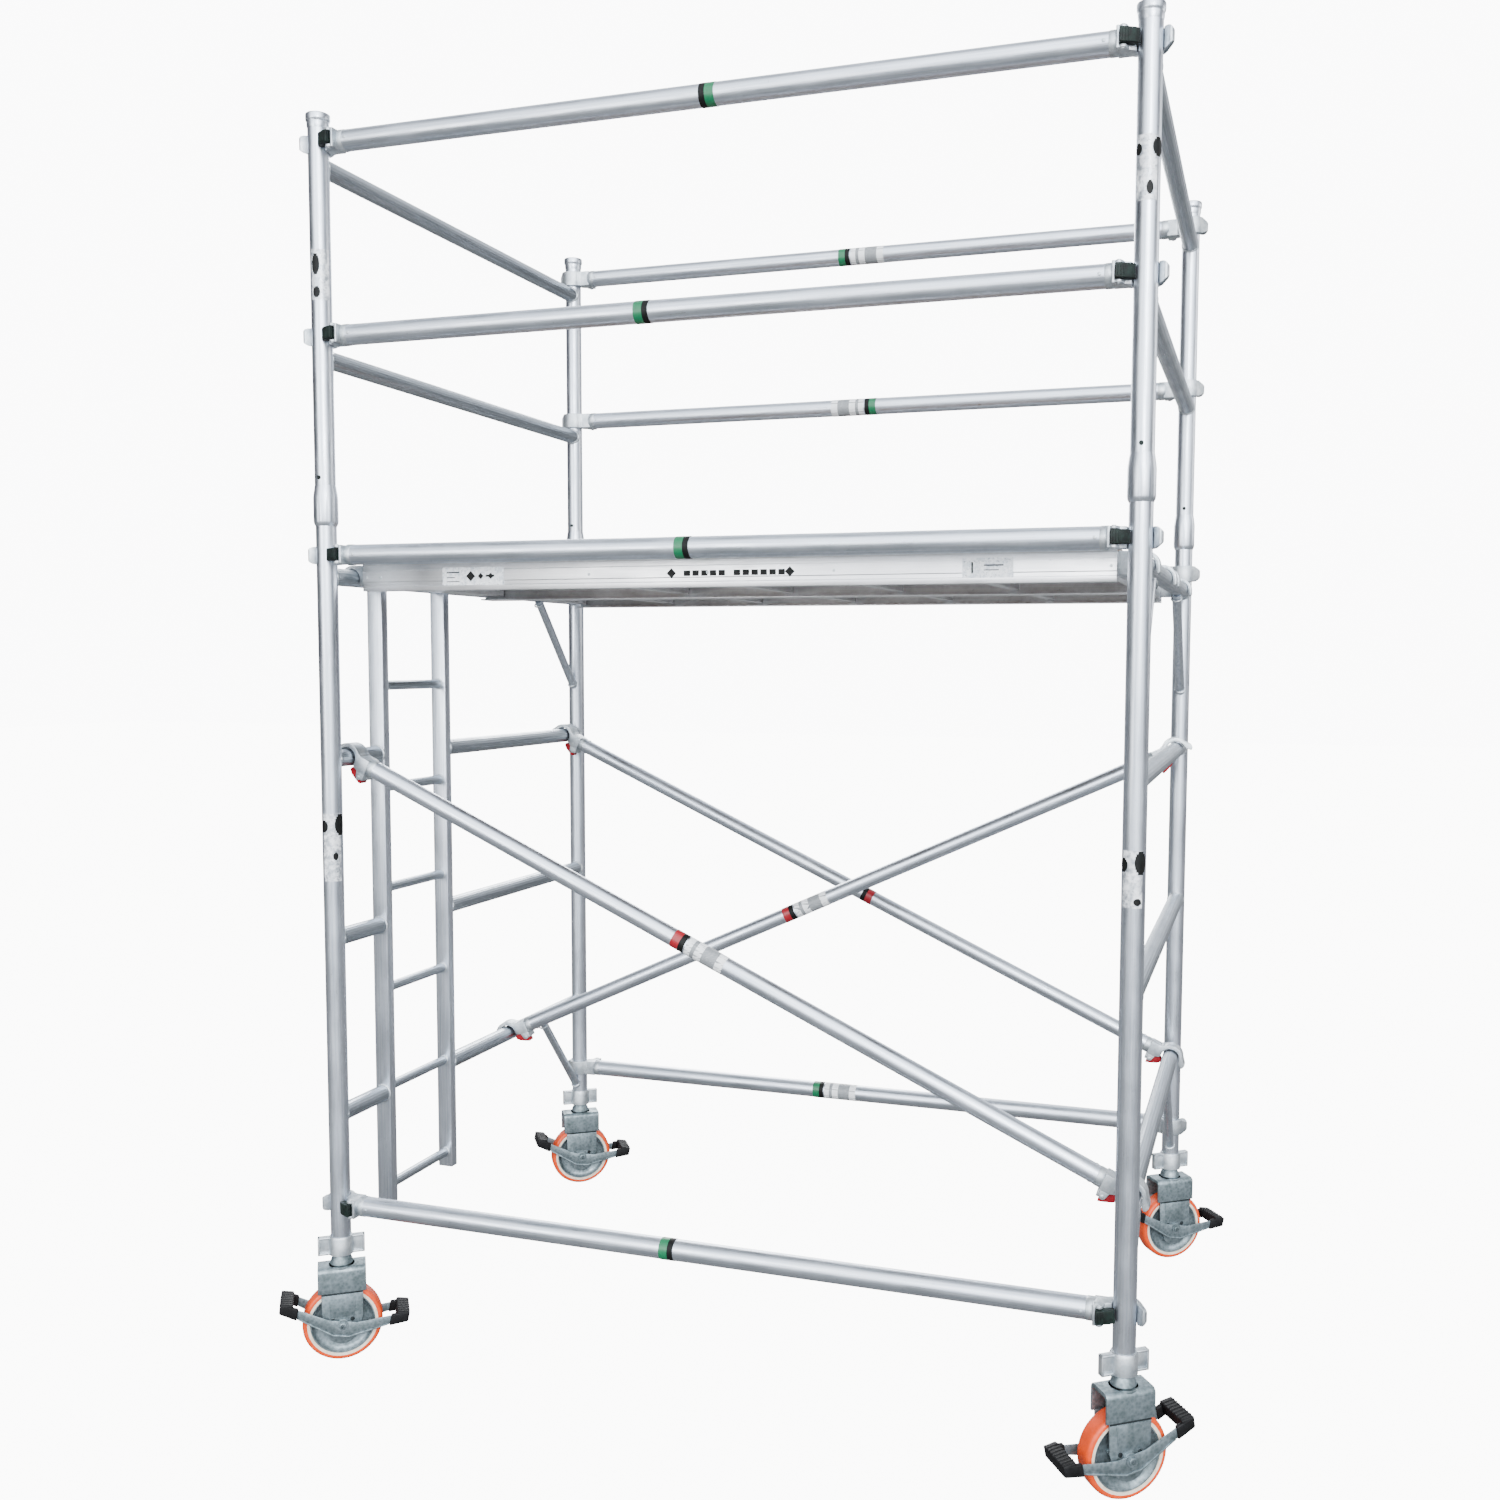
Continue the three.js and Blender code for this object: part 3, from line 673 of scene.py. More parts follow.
def white_sweep():
    """The seamless floor: lit from above, and bright of itself where it is looked at directly."""
    material, tree = new_surface("white sweep")
    shader = tree.nodes["shader"]
    shader.inputs["Base Color"].default_value = hex_color("#616160")
    shader.inputs["Roughness"].default_value = 0.9
    shader.inputs["Emission Color"].default_value = hex_color("#fbfbfa")
    rays = add_node(tree, "ShaderNodeLightPath").outputs["Is Camera Ray"]
    seen = add_node(tree, "ShaderNodeMath", {"operation": "MULTIPLY"}, {0: rays, 1: WHITE_GLOW})
    tree.links.new(seen.outputs[0], shader.inputs["Emission Strength"])
    return material


FINISHES = {}


def finish_of(name):
    """Each finish is made once, when it is first asked for."""
    rail_tones = chosen("rail_color"), chosen("rail_color", 0.6)
    diagonal_tones = chosen("diagonal_color"), chosen("diagonal_color", 0.6)
    recipes = {
        "upright": lambda: drawn_aluminium("mill-finish tube, upright", (0, 0, 1)),
        # Rungs and steps: the same drawn tube as the uprights with darker tones, painted shade
        "rung": lambda: drawn_aluminium("mill-finish tube, rung", (0, 1, 0), "#8f979e", "#bcc2c9"),
        "rail": lambda: drawn_aluminium("mill-finish tube, rail", (1, 0, 0)),
        "falling": lambda: drawn_aluminium("mill-finish tube, falling", (2.0, 0, -0.92)),
        "rising": lambda: drawn_aluminium("mill-finish tube, rising", (2.0, 0.3, 0.92)),
        "beam": lambda: drawn_aluminium("extruded deck beam", (1, 0, 0), "#dcdddf", "#efeff0"),
        "cast": cast_aluminium,
        "zinc": zinc_plate,
        "black nylon": lambda: moulded_nylon("black nylon", "#14241f", "#060d0b"),
        "red nylon": lambda: moulded_nylon("red nylon", *diagonal_tones),
        "grip rubber": lambda: moulded_nylon("grip rubber", "#121214", "#050506"),
        "tread": polyurethane_tread,
        "cream": pale_ring,
        "green band": lambda: vinyl_band("green marker tape", *rail_tones),
        "red band": lambda: vinyl_band("red marker tape", *diagonal_tones),
        "black band": lambda: moulded_nylon("black marker tape", "#0f1211", "#040505"),
        "grey print": lambda: vinyl_band("grey print", "#b3b6b8", "#7c8083"),
        "ply": film_faced_ply,
        "deck top": slip_resistant_film,
        "label": printed_label,
        "worn film": worn_film,
        # Painted shade: a near-black finish for the castor's slot under the hood and its rivet
        # recesses
        "shadow gap": lambda: moulded_nylon("dark seal", "#20272a", "#0d1214"),
        "floor": white_sweep,
    }
    if name not in FINISHES:
        FINISHES[name] = recipes[name]()
    return FINISHES[name]


# ---------- frames ----------
def upright_pair(x, low, high, radius=UPRIGHT_R, wall=UPRIGHT_WALL, sides=56):
    return [pipe((x, y, low), (x, y, high), radius, wall, sides) for y in (-HALF_W, HALF_W)]


def spigot_pair(x):
    """The pressed-in joint pins that stand in the guard frame's uprights."""
    return upright_pair(x, JOINT_Z - SPIGOT_DEPTH, SPIGOT_TOP_Z, SPIGOT_R, SPIGOT_WALL, 40)


def rung(x, first_y, last_y, z):
    return fluted_pipe((x, first_y, z), (x, last_y, z), RUNG_R, RUNG_WALL)


def full_rungs(x, heights):
    """Rungs from upright to upright."""
    return [rung(x, RUNG_END_INSET - HALF_W, HALF_W - RUNG_END_INSET, z) for z in heights]


def rung_beads(x, heights):
    """The weld beads where rungs meet the uprights."""
    return [weld_bead((x, side * (HALF_W - UPRIGHT_R), z), (0, -side, 0), RUNG_R, UPRIGHT_R)
            for z in heights for side in (-1, 1)]


def knee_braces(x, sides):
    """The slim braces under the top and bottom rung, and their weld beads."""
    tubes, beads = [], []
    outward = KNEE_REACH - KNEE_END_INSET
    for rung_z in (DECK_RUNG_Z, FIRST_RUNG_Z):
        for side in sides:
            start = Vector((x, side * (HALF_W - KNEE_REACH), rung_z - RUNG_R * 0.8))
            end_z = rung_z - outward * KNEE_SLOPE
            end = Vector((x, side * (HALF_W - KNEE_END_INSET), end_z))
            slope = Vector((0, side, -KNEE_SLOPE)).normalized()
            sunk = start + Vector((0, side, 0)) * RUNG_R * 0.3
            tubes.append(solid_rod(sunk, end + slope * 4 * MM, SLIM_R, 28))
            for place in (start + slope * 16 * MM, end - slope * 6 * MM):
                beads.append(weld_bead(place, slope, SLIM_R + 1 * MM, None, SLIM_BEAD))
    return tubes, beads


def box_stile(x, y):
    """A ladder stile: a box tube, hollow at its open foot."""
    low = (x - STILE_DEPTH / 2, y - STILE_WIDTH / 2, STILE_FOOT_Z)
    high = (x + STILE_DEPTH / 2, y + STILE_WIDTH / 2, DECK_RUNG_Z - RUNG_R * 0.55)
    stile = block(low, high, 2.5 * MM, 3)
    pick_faces(stile, lambda face: face.normal.z < -0.99)
    bpy.ops.mesh.inset(thickness=0.6 * MM)
    bpy.ops.mesh.extrude_region_move(TRANSFORM_OT_translate={"value": (0, 0, STILE_HOLLOW)})
    bpy.ops.object.mode_set(mode="OBJECT")
    return stile


def frame_pieces(node, tubes, rungs, beads, extra):
    """Hands over the pieces of one welded frame."""
    parts = {
        "uprights": (tubes, "upright"),
        "rungs": (rungs, "rung"),
        "welds": (beads, "cast"),
        **extra,
    }
    for part, (pieces, finish) in parts.items():
        replaced = (node,) if part == "uprights" else ()
        hand_over(pieces, finish, f"{node}_{part}", "tower", replaced, smooth=50)


def make_ladder_frame():
    x = LADDER_X
    # The lower rungs stop at the ladder's stiles, and its steps run between them
    stiles = list(zip((-1, 1), STILE_Y))
    low_y, high_y = STILE_Y[0] + STILE_BORE_INSET, STILE_Y[1] - STILE_BORE_INSET
    rungs, beads, steps = full_rungs(x, [DECK_RUNG_Z]), rung_beads(x, LOWER_RUNGS), []
    for z in LOWER_RUNGS[:3]:
        for side, y in stiles:
            ends = sorted((side * (HALF_W - RUNG_END_INSET), y + side * STILE_BORE_INSET))
            rungs.append(rung(x, *ends, z))
            beads.append(weld_bead((x, y + side * STILE_WIDTH / 2, z), (0, side, 0), RUNG_R))
    for z in STEP_ZS:
        steps.append(fluted_pipe((x, low_y, z), (x, high_y, z), SLIM_R, RUNG_WALL,
                                 STEP_FLUTES, STEP_FLUTE_DEPTH))
        for side, y in stiles:
            place = (x, y - side * STILE_WIDTH / 2, z)
            beads.append(weld_bead(place, (0, -side, 0), SLIM_R, None, SLIM_BEAD))
    knees, knee_beads = knee_braces(x, (1,))
    extra = {
        "stiles": ([box_stile(x, y) for y in STILE_Y], "upright"),
        "steps": (steps, "rung"),
        "knees": (knees, "upright"),
        "spigots": (spigot_pair(x), "upright"),
    }
    tubes = upright_pair(x, FOOT_Z, JOINT_Z)
    frame_pieces("ladder_frame", tubes, rungs, beads + knee_beads, extra)


def make_end_frame():
    x = END_X
    rungs, beads = full_rungs(x, LOWER_RUNGS), rung_beads(x, LOWER_RUNGS)
    knees, knee_beads = knee_braces(x, (-1, 1))
    extra = {"knees": (knees, "upright"), "spigots": (spigot_pair(x), "upright")}
    tubes = upright_pair(x, FOOT_Z, JOINT_Z)
    frame_pieces("end_frame", tubes, rungs, beads + knee_beads, extra)


def joint_collar(x, y):
    """The swaged foot of a guard upright: a belled sleeve with a long taper and faint crimps."""
    low, high = JOINT_Z, JOINT_Z + COLLAR_HEIGHT
    bore = UPRIGHT_R - UPRIGHT_WALL
    widest = COLLAR_R + 1 * MM
    sleeve = turned([
        (bore, low - 3 * MM), (UPRIGHT_R + 0.4 * MM, low - 3 * MM),
        (widest - 1.2 * MM, low + 3 * MM), (widest, low + 9 * MM), (widest, low + 40 * MM),
        (widest, low + 66 * MM), (widest - 0.8 * MM, low + 74 * MM),
        (UPRIGHT_R + 1.2 * MM, low + 92 * MM), (UPRIGHT_R + 0.1 * MM, high), (bore, high),
    ], 72)
    for corner in sleeve.data.vertices:
        out = Vector((corner.co.x, corner.co.y))
        if out.length > widest - 0.1 * MM and corner.co.z < low + 50 * MM:
            crimp = max(0.0, math.cos(COLLAR_CRIMPS * math.atan2(out.y, out.x)))
            dent = crimp**6 * 0.9 * MM
            corner.co.x -= out.x / out.length * dent
            corner.co.y -= out.y / out.length * dent
    return placed(sleeve, Matrix.Translation((x, y, 0)))


def mouth_collar(x, y):
    """The open top of an upright, with a rolled lip for the next frame's spigot."""
    low = TOP_Z - MOUTH_RING_HEIGHT
    bore = UPRIGHT_R - UPRIGHT_WALL
    lip = COLLAR_R + 0.6 * MM
    ring = turned([
        (bore, low), (UPRIGHT_R, low), (UPRIGHT_R + 1.4 * MM, low + 6 * MM),
        (lip - 2.4 * MM, low + 14 * MM), (lip - 2.6 * MM, low + 17 * MM),
        (lip - 0.6 * MM, low + 19 * MM), (lip, low + 23 * MM), (lip, TOP_Z - 3 * MM),
        (lip - 0.8 * MM, TOP_Z - 0.8 * MM), (lip - 2 * MM, TOP_Z), (bore + 2.5 * MM, TOP_Z),
        (bore + 1 * MM, TOP_Z - 2.5 * MM),
    ], 56)
    return placed(ring, Matrix.Translation((x, y, 0)))


def make_guard_frame(name, x):
    rungs, beads = full_rungs(x, GUARD_RUNGS), rung_beads(x, GUARD_RUNGS)
    collars, pins = [], []
    half_pin = UPRIGHT_R + 1.6 * MM
    for y in (-HALF_W, HALF_W):
        collars += [joint_collar(x, y), mouth_collar(x, y)]
        ends = (x, y - half_pin, LOCK_PIN_Z), (x, y + half_pin, LOCK_PIN_Z)
        pins.append(solid_rod(*ends, 5 * MM, 20))
    extra = {"collars": (collars, "upright"), "lock_pins": (pins, "black nylon")}
    tubes = upright_pair(x, JOINT_Z + 60 * MM, TOP_Z - 10 * MM)
    frame_pieces(name, tubes, rungs, beads, extra)


# ---------- braces ----------
def claw_frame(origin, outward, mouth):
    """The claw's own axes: origin on the gripped tube, +X away from the brace, mouth to -Y."""
    x_axis = Vector(outward).normalized()
    y_axis = -Vector(mouth)
    y_axis = (y_axis - x_axis * y_axis.dot(x_axis)).normalized()
    turn = Matrix((x_axis, y_axis, x_axis.cross(y_axis))).transposed().to_4x4()
    return Matrix.Translation(origin) @ turn


def claw_model():
    """One cast claw: a hook round the tube with a flared lip, and the catch's pocket, ears, pin."""
    inner, outer = 26.4 * MM, 37 * MM
    half = CLAW_HEIGHT / 2
    px, py = PIVOT
    outline = arc((0, 0), inner, 0, 180, 22) + [(-inner, -10 * MM)]
    outline += in_mm((-30, -14), (-36, -16), (-44, -20), (-66, -20), (-66, 20), (-42, 20))
    outline += arc((-40 * MM, 29 * MM), 9 * MM, 260, 322, 5)
    outline += arc((0, 0), outer, 140, 24, 18)
    outline += arc((CLAW_LIP - 14 * MM, -6 * MM), 14 * MM, 42, -42, 8)
    outline += [(CLAW_LIP - 8 * MM, -17 * MM), (inner + 8 * MM, -11 * MM)]
    outline += [(inner + 2 * MM, -4 * MM)]
    hook = plate(outline, CLAW_HEIGHT)
    # The jaw's free end is rounded off above and below, as a lobe
    for corner in hook.data.vertices:
        past = (corner.co.x - (CLAW_LIP - 24 * MM)) / (24 * MM)
        if past > 0:
            corner.co.z *= math.sqrt(max(0.12, 1 - min(past, 1.0) ** 2 * 0.82))
    bevel(hook, 2.4 * MM, 3, 30)
    low, high = (CLAW_BLOCK_END, py - 5 * MM, -half), (px - 7 * MM, -18 * MM, half)
    pieces = [hook, block(low, high, 2 * MM, 3)]
    thickness = half - TRIGGER_HEIGHT / 2 - 1 * MM
    ear_outline = arc((px, py + 1 * MM), 8.5 * MM, 200, 350, 10)
    ear_outline += [(px + 12 * MM, -18 * MM), (CLAW_BLOCK_END, -18 * MM)]
    for side in (-1, 1):
        ear = plate(ear_outline, thickness, 1.6 * MM, 3)
        pieces.append(placed(ear, Matrix.Translation((0, 0, side * (half - thickness / 2)))))
        ends = (px, py, side * (half - 1 * MM)), (px, py, side * (half + 1.6 * MM))
        pieces.append(stud(*ends, 4.6 * MM, 20, 0.9 * MM))
    pin = solid_rod((px, py, -half), (px, py, half), 2.5 * MM, 16)
    return join([*pieces, pin])


def shank_model(radius):
    """The claw's round shank in the tube's end, with a rolled groove and two punched rivets."""
    back = CLAW_BLOCK_END - 16 * MM
    front = CLAW_BLOCK_END + 5 * MM
    ring = turned([
        (radius * 0.4, back), (radius + 0.1 * MM, back), (radius + 0.9 * MM, back + 2 * MM),
        (radius + 0.9 * MM, front - 5 * MM), (radius - 2.5 * MM, front), (radius * 0.4, front),
    ], 44)
    pieces = [placed(ring, Matrix.Rotation(math.radians(90), 4, "Y"))]
    x = CLAW_BLOCK_END - 26 * MM
    for side in (-1, 1):
        ends = (x, side * (radius - 1 * MM), 0), (x, side * (radius + 1.5 * MM), 0)
        pieces.append(stud(*ends, 4 * MM, 18, 1 * MM))
    return join(pieces)


def trigger_model():
    """The moulded catch that closes the claw's mouth, with a thumb pad and raised finger ribs."""
    outline = in_mm(
        (-57.5, -31), (-55.5, -27), (-52, -25.5), (-43, -23), (-35, -17), (-24, -15), (-18, -21),
        (-18, -27), (-26, -35), (-44, -44), (-57, -49), (-58, -42), (-56.5, -36),
    )
    pieces = [plate(outline, TRIGGER_HEIGHT, 1.8 * MM, 3)]
    for x, y in ((-52, -46.6), (-46, -44.6), (-40, -42)):
        corners = in_mm((x - 1.1, y - 1.4, -11), (x + 1.1, y + 2, 11))
        pieces.append(block(*corners, 0.9 * MM))
    return join(pieces)


def brace_table():
    """Each brace's left and right claw origin, the way its mouths face, and its tube radius."""
    table = {}
    for face, side in (("front", -1), ("back", 1)):
        for level, z in RAIL_HEIGHTS.items():
            y = side * HALF_W
            ends = (LADDER_X, y, z), (END_X, y, z)
            table[f"{face}_{level}"] = (*ends, (0, side, 0), UPRIGHT_R)
    high, low, edge_y, down = LOWER_RUNGS[2], LOWER_RUNGS[0], DIAGONAL_Y, (0, 0, -1)
    for place, left_y, right_y, left_z, right_z in (
        ("front", -edge_y, -edge_y, high, low),
        ("middle", 200 * MM, 500 * MM, low, high),
        ("back", edge_y, edge_y, high, low),
    ):
        ends = (LADDER_X, left_y, left_z), (END_X, right_y, right_z)
        table[f"diagonal_{place}"] = (*ends, down, RUNG_R)
    return table


def brace_ends(left, right, mouth):
    along = (Vector(right) - Vector(left)).normalized()
    return {"left": claw_frame(left, -along, mouth), "right": claw_frame(right, along, mouth)}


def band_pieces(left, right, radius, name):
    """The marker tape, a coloured and a narrower black turn, and a sticker beside some of them."""
    left, right = Vector(left), Vector(right)
    along = (right - left).normalized()
    middle = left + (right - left) * (BAND_X[name] - left.x) / (right.x - left.x)
    flip = -1 if name in BLACK_AT_LEFT else 1
    half = along * setting("band_length") / 2
    skin = radius + 0.7 * MM
    color = "red band" if name.startswith("diagonal") else "green band"
    # Each turn as its finish, both ends, outer radius and thickness
    turns = [(color, middle - half * flip, middle + half * 0.2 * flip, skin, 0.6 * MM),
             ("black band", middle + half * 0.21 * flip, middle + half * flip, skin, 0.6 * MM)]
    if name in STICKER_SIDE:
        side = STICKER_SIDE[name]
        start = middle + half * side + along * 4 * MM * side
        end = start + along * STICKER_LENGTH * side
        turns.append(("label", start, end, radius + 0.4 * MM, 0.3 * MM))
        for first, last in ((16, 26), (46, 84)):
            mark = start + along * first * MM * side, start + along * last * MM * side
            turns.append(("grey print", *mark, radius + 0.55 * MM, 0.4 * MM))
    return [paint(pipe(*form, BAND_SIDES), finish) for finish, *form in turns]


def make_braces():
    claw = claw_model()
    for name, (left, right, mouth, radius) in brace_table().items():
        ends = brace_ends(left, right, mouth)
        start, end = (place @ Vector((CLAW_BLOCK_END + 2 * MM, 0, 0)) for place in ends.values())
        finish = "rail"
        if name.startswith("diagonal"):
            finish = "rising" if name.endswith("middle") else "falling"
        tube = pipe(start, end, radius, UPRIGHT_WALL, 52)
        node = f"brace_{name}"
        hand_over([tube], finish, f"{node}_tube", "tower", (node,))
        shank = shank_model(radius)
        claws = [twin(model, place) for place in ends.values() for model in (claw, shank)]
        drop(shank)
        hand_over(claws, "cast", f"{node}_claws", "tower")
        hand_over(band_pieces(left, right, radius, name), None, f"{node}_band", "tower")
    drop(claw)


def make_triggers():
    model = trigger_model()
    for name, (left, right, mouth, _) in brace_table().items():
        color = "red" if name.startswith("diagonal") else "black"
        for side, place in brace_ends(left, right, mouth).items():
            node = f"trigger_{name}_{side}"
            hand_over([twin(model, place)], f"{color} nylon", f"{node}_catch", node,
                      (node,))
    drop(model)


# ---------- decks ----------
def side_beam(outer_y, inward):
    """An extruded channel with a lipped top edge and two stiffening grooves in its web."""
    web = outer_y
    top, low = DECK_TOP_Z, DECK_BOTTOM_Z
    inner = web + inward * BEAM_WIDTH
    wall = inward * BEAM_WALL
    dip = inward * 1.6 * MM
    outline = [
        (web, low), (web, low + 12 * MM), (web + dip, low + 14 * MM), (web + dip, low + 22 * MM),
        (web, low + 24 * MM), (web, top - 26 * MM), (web + dip, top - 24 * MM),
        (web + dip, top - 12 * MM), (web, top - 10 * MM), (web, top), (inner, top),
        (inner, top - BEAM_WALL), (web + wall, top - BEAM_WALL), (web + wall, low + BEAM_WALL),
        (inner, low + BEAM_WALL), (inner, low),
    ]
    return placed(plate(outline, 2 * DECK_HALF_LENGTH, 0.7 * MM), ALONG_X)


def deck_hook(x, y):
    """A cast hook over the deck rung, with a webbed back that bolts to the end member."""
    side = 1 if x > 0 else -1
    grip = RUNG_R + 1.2 * MM
    outline = in_mm((-60, -20), (-60, 30))
    outline += arc((-57 * MM, 30 * MM), 3 * MM, 180, 90, 3)
    outline += arc((0, 0), 33 * MM, 90, 0, 12)
    outline += [*in_mm((33, -14), (29, -18)), (grip + 1 * MM, -16 * MM)]
    outline += arc((0, 0), grip, 0, 180, 16) + [(-grip, -20 * MM)]
    axes = Matrix(((side, 0, 0, x), (0, 0, -side, y), (0, 1, 0, DECK_RUNG_Z), (0, 0, 0, 1)))
    return placed(plate(outline, HOOK_WIDTH, 2 * MM), axes)


def make_deck(node, side, member_xs, boards):
    """A deck unit: its member_xs are the cross members, its boards the ends of each board."""
    low_y, high_y = sorted(side * edge for edge in DECK_EDGES_Y)
    beams = [side_beam(low_y, 1), side_beam(high_y, -1)]
    members, planks, rivets = [], [], []
    for x in member_xs:
        low = (x - MEMBER_HALF_WIDTH, low_y + 5 * MM, DECK_BOTTOM_Z + 12 * MM)
        high = (x + MEMBER_HALF_WIDTH, high_y - 5 * MM, DECK_TOP_Z - 10.4 * MM)
        members.append(block(low, high, 2 * MM))
    top = DECK_TOP_Z - BOARD_SINK
    for first, last in boards:
        low = (first, low_y + 4.5 * MM, top - BOARD_THICKNESS)
        board = block(low, (last, high_y - 4.5 * MM, top), 0.6 * MM)
        board_faces(board)
        planks.append(board)
    middle = (low_y + high_y) / 2
    hooks = [deck_hook(x, middle + offset)
             for x in (LADDER_X, END_X) for offset in (-HOOK_OFFSET, HOOK_OFFSET)]
    z = DECK_BOTTOM_Z + 34 * MM
    for y, outward in ((low_y, -1), (high_y, 1)):
        for x in member_xs:
            rivets.append(stud((x, y, z), (x, y + outward * 0.9 * MM, z), 3.6 * MM, 14))
    for part, pieces, finish, replaced in (
        ("beams", beams, "beam", (node,)),
        ("cross_members", members, "beam", ()),
        ("board", planks, None, ()),
        ("hooks", hooks, "cast", ()),
        ("rivets", rivets, "cast", ()),
    ):
        hand_over(pieces, finish, f"{node}_{part}", "tower", replaced)


def make_decks():
    end = DECK_HALF_LENGTH - MEMBER_HALF_WIDTH
    right_xs = [0, MEMBER_PITCH, 2 * MEMBER_PITCH, end]
    trap_xs = [TRAP_X[0] - MEMBER_HALF_WIDTH, TRAP_X[1] + MEMBER_HALF_WIDTH]
    trap_boards = [(-DECK_HALF_LENGTH, TRAP_X[0]), (TRAP_X[1], DECK_HALF_LENGTH)]
    make_deck("deck_front", -1, [-end, *trap_xs, *right_xs], trap_boards)
    rear_xs = [-end, -2 * MEMBER_PITCH, -MEMBER_PITCH, *right_xs]
    make_deck("deck_rear", 1, rear_xs, [(-DECK_HALF_LENGTH, DECK_HALF_LENGTH)])


def make_trapdoor():
    low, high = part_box("trapdoor")
    hinge_y, hinge_z = low.y + HINGE_R, DECK_TOP_Z
    x = (low.x + high.x) / 2
    corners = (low.x, hinge_y + 2 * MM, DECK_TOP_Z - 10 * MM), (high.x, high.y, DECK_TOP_Z)
    panel = block(*corners, 0.8 * MM)
    slot = block((x - 50 * MM, high.y - 75 * MM, hinge_z - 50 * MM),
                 (x + 50 * MM, high.y - 45 * MM, hinge_z + 50 * MM), 12 * MM, 4)
    hold(panel)
    cutter = panel.modifiers.new("finger slot", "BOOLEAN")
    cutter.operation = "DIFFERENCE"
    cutter.object = slot
    bpy.ops.object.modifier_apply(modifier=cutter.name)
    drop(slot)
    board_faces(panel)
    hand_over([panel], None, "trapdoor_panel", "trapdoor", ("trapdoor",))
    hinges = []
    for dx in HINGE_OFFSETS:
        first, last = x + dx - HINGE_HALF_LENGTH, x + dx + HINGE_HALF_LENGTH
        hinges.append(solid_rod((first, hinge_y, hinge_z), (last, hinge_y, hinge_z), HINGE_R, 24))
        leaf_end = (last - 2 * MM, hinge_y + 32 * MM, hinge_z + 1.6 * MM)
        hinges.append(block((first + 2 * MM, hinge_y, hinge_z), leaf_end, 0.6 * MM))
    hand_over(hinges, "zinc", "trapdoor_hinges", "trapdoor")


# ---------- castors ----------
def leg_model():
    """The screw leg: a rolled trapezoid thread on a hollow stem, and a flared boss."""
    stem_r, bore, root, top = 19 * MM, 12 * MM, 16.4 * MM, 720 * MM
    foot = HEAD_TOP_Z
    profile = [(bore, foot + 0.4 * MM), (27 * MM, foot + 0.4 * MM), (29 * MM, foot + 4 * MM),
               (27 * MM, foot + 12 * MM), (23 * MM, foot + 20 * MM), (stem_r, foot + 26 * MM)]
    for i in range(THREAD_TURNS):
        z = foot + 30 * MM + i * THREAD_PITCH
        profile += [(stem_r, z), (root, z + 2 * MM), (root, z + 4 * MM), (stem_r, z + 6 * MM)]
    profile += [(stem_r, top - 3 * MM), (stem_r - 3 * MM, top), (bore, top)]
    return turned(profile, 36)


def nut_model():
    """The adjusting nut: a round collar with two rimmed lugs to turn it by."""
    low, high = 277 * MM, 325.6 * MM
    pieces = [turned([
        (20 * MM, low), (29.5 * MM, low), (31 * MM, low + 1.5 * MM), (31 * MM, high - 6 * MM),
        (28 * MM, high), (20 * MM, high),
    ])]
    # The lug's web and its three rims: near and far end, half depth, bottom and top
    bars = ((26, 57, 3.5, 0.5, 46), (26, 58.4, 9, 0, 6), (26, 58.4, 9, 41, 47),
            (52.4, 58.4, 9, 0, 47))
    for side in (-1, 1):
        for near, far, depth, bottom, top in bars:
            first, last = sorted((side * near * MM, side * far * MM))
            pieces.append(block((first, -depth * MM, low + bottom * MM),
                                (last, depth * MM, low + top * MM), 2 * MM, 3))
    return join(pieces)


def fork_model():
    """The pressed hood, its two cheeks, the swivel race and the bolted axle ends."""
    w, room = FORK_HALF_WIDTH, FORK_HALF_WIDTH - 6 * MM
    top, low, shoulder = HEAD_TOP_Z, 184 * MM, 13 * MM
    # The hood's end view, in Y and Z: an open channel with rounded shoulders, drawn out along X
    channel = [(-w, low)] + arc((-w + shoulder, top - shoulder), shoulder, 180, 90, 7)
    channel += arc((w - shoulder, top - shoulder), shoulder, 90, 0, 7) + [(w, low), (room, low)]
    channel += [(room, top - 16 * MM), (room - 6 * MM, top - 10 * MM)]
    channel += [(-room + 6 * MM, top - 10 * MM), (-room, top - 16 * MM), (-room, low)]
    pieces = [placed(plate(channel, HOOD_LENGTH, 1.6 * MM, 3), ALONG_X)]
    cheek_outline = in_mm((-52, 192), (-50, 116)) + arc((0, 88 * MM), 40 * MM, 213, 327, 16)
    cheek_outline += in_mm((50, 116), (52, 192))
    pressing_outline = in_mm((-34, 178), (-30, 120), (30, 120), (34, 178))
    for side in (-1, 1):
        cheek = plate(cheek_outline, 4 * MM, 1 * MM)
        pressing = plate(pressing_outline, 1.2 * MM, 0.5 * MM)
        for flat, inset in ((cheek, 4 * MM), (pressing, 1.6 * MM)):
            pieces.append(placed(flat, Matrix.Translation((0, side * (w - inset), 0)) @ ON_EDGE))
        # Boss and nut are rounded, and the washer between them stays square
        for near, far, radius, sides, edge in (
            (-3, 2.5, 15, 32, 1), (9, 10.4, 14, 32, 0), (10.2, 14, 10, 6, 1),
        ):
            ends = [(0, side * (w + reach * MM), WHEEL_R) for reach in (near, far)]
            rod = solid_rod(*ends, radius * MM, sides)
            if edge:
                bevel(rod, edge * MM)
            pieces.append(rod)
    axle = solid_rod((0, -w - 14 * MM, WHEEL_R), (0, w + 14 * MM, WHEEL_R), 6 * MM, 24)
    race = turned([(12 * MM, top - 6 * MM), (34 * MM, top - 6 * MM), (34 * MM, top - 1.4 * MM),
                   (32.5 * MM, top), (12 * MM, top)], 44)
    return join([*pieces, axle, race])


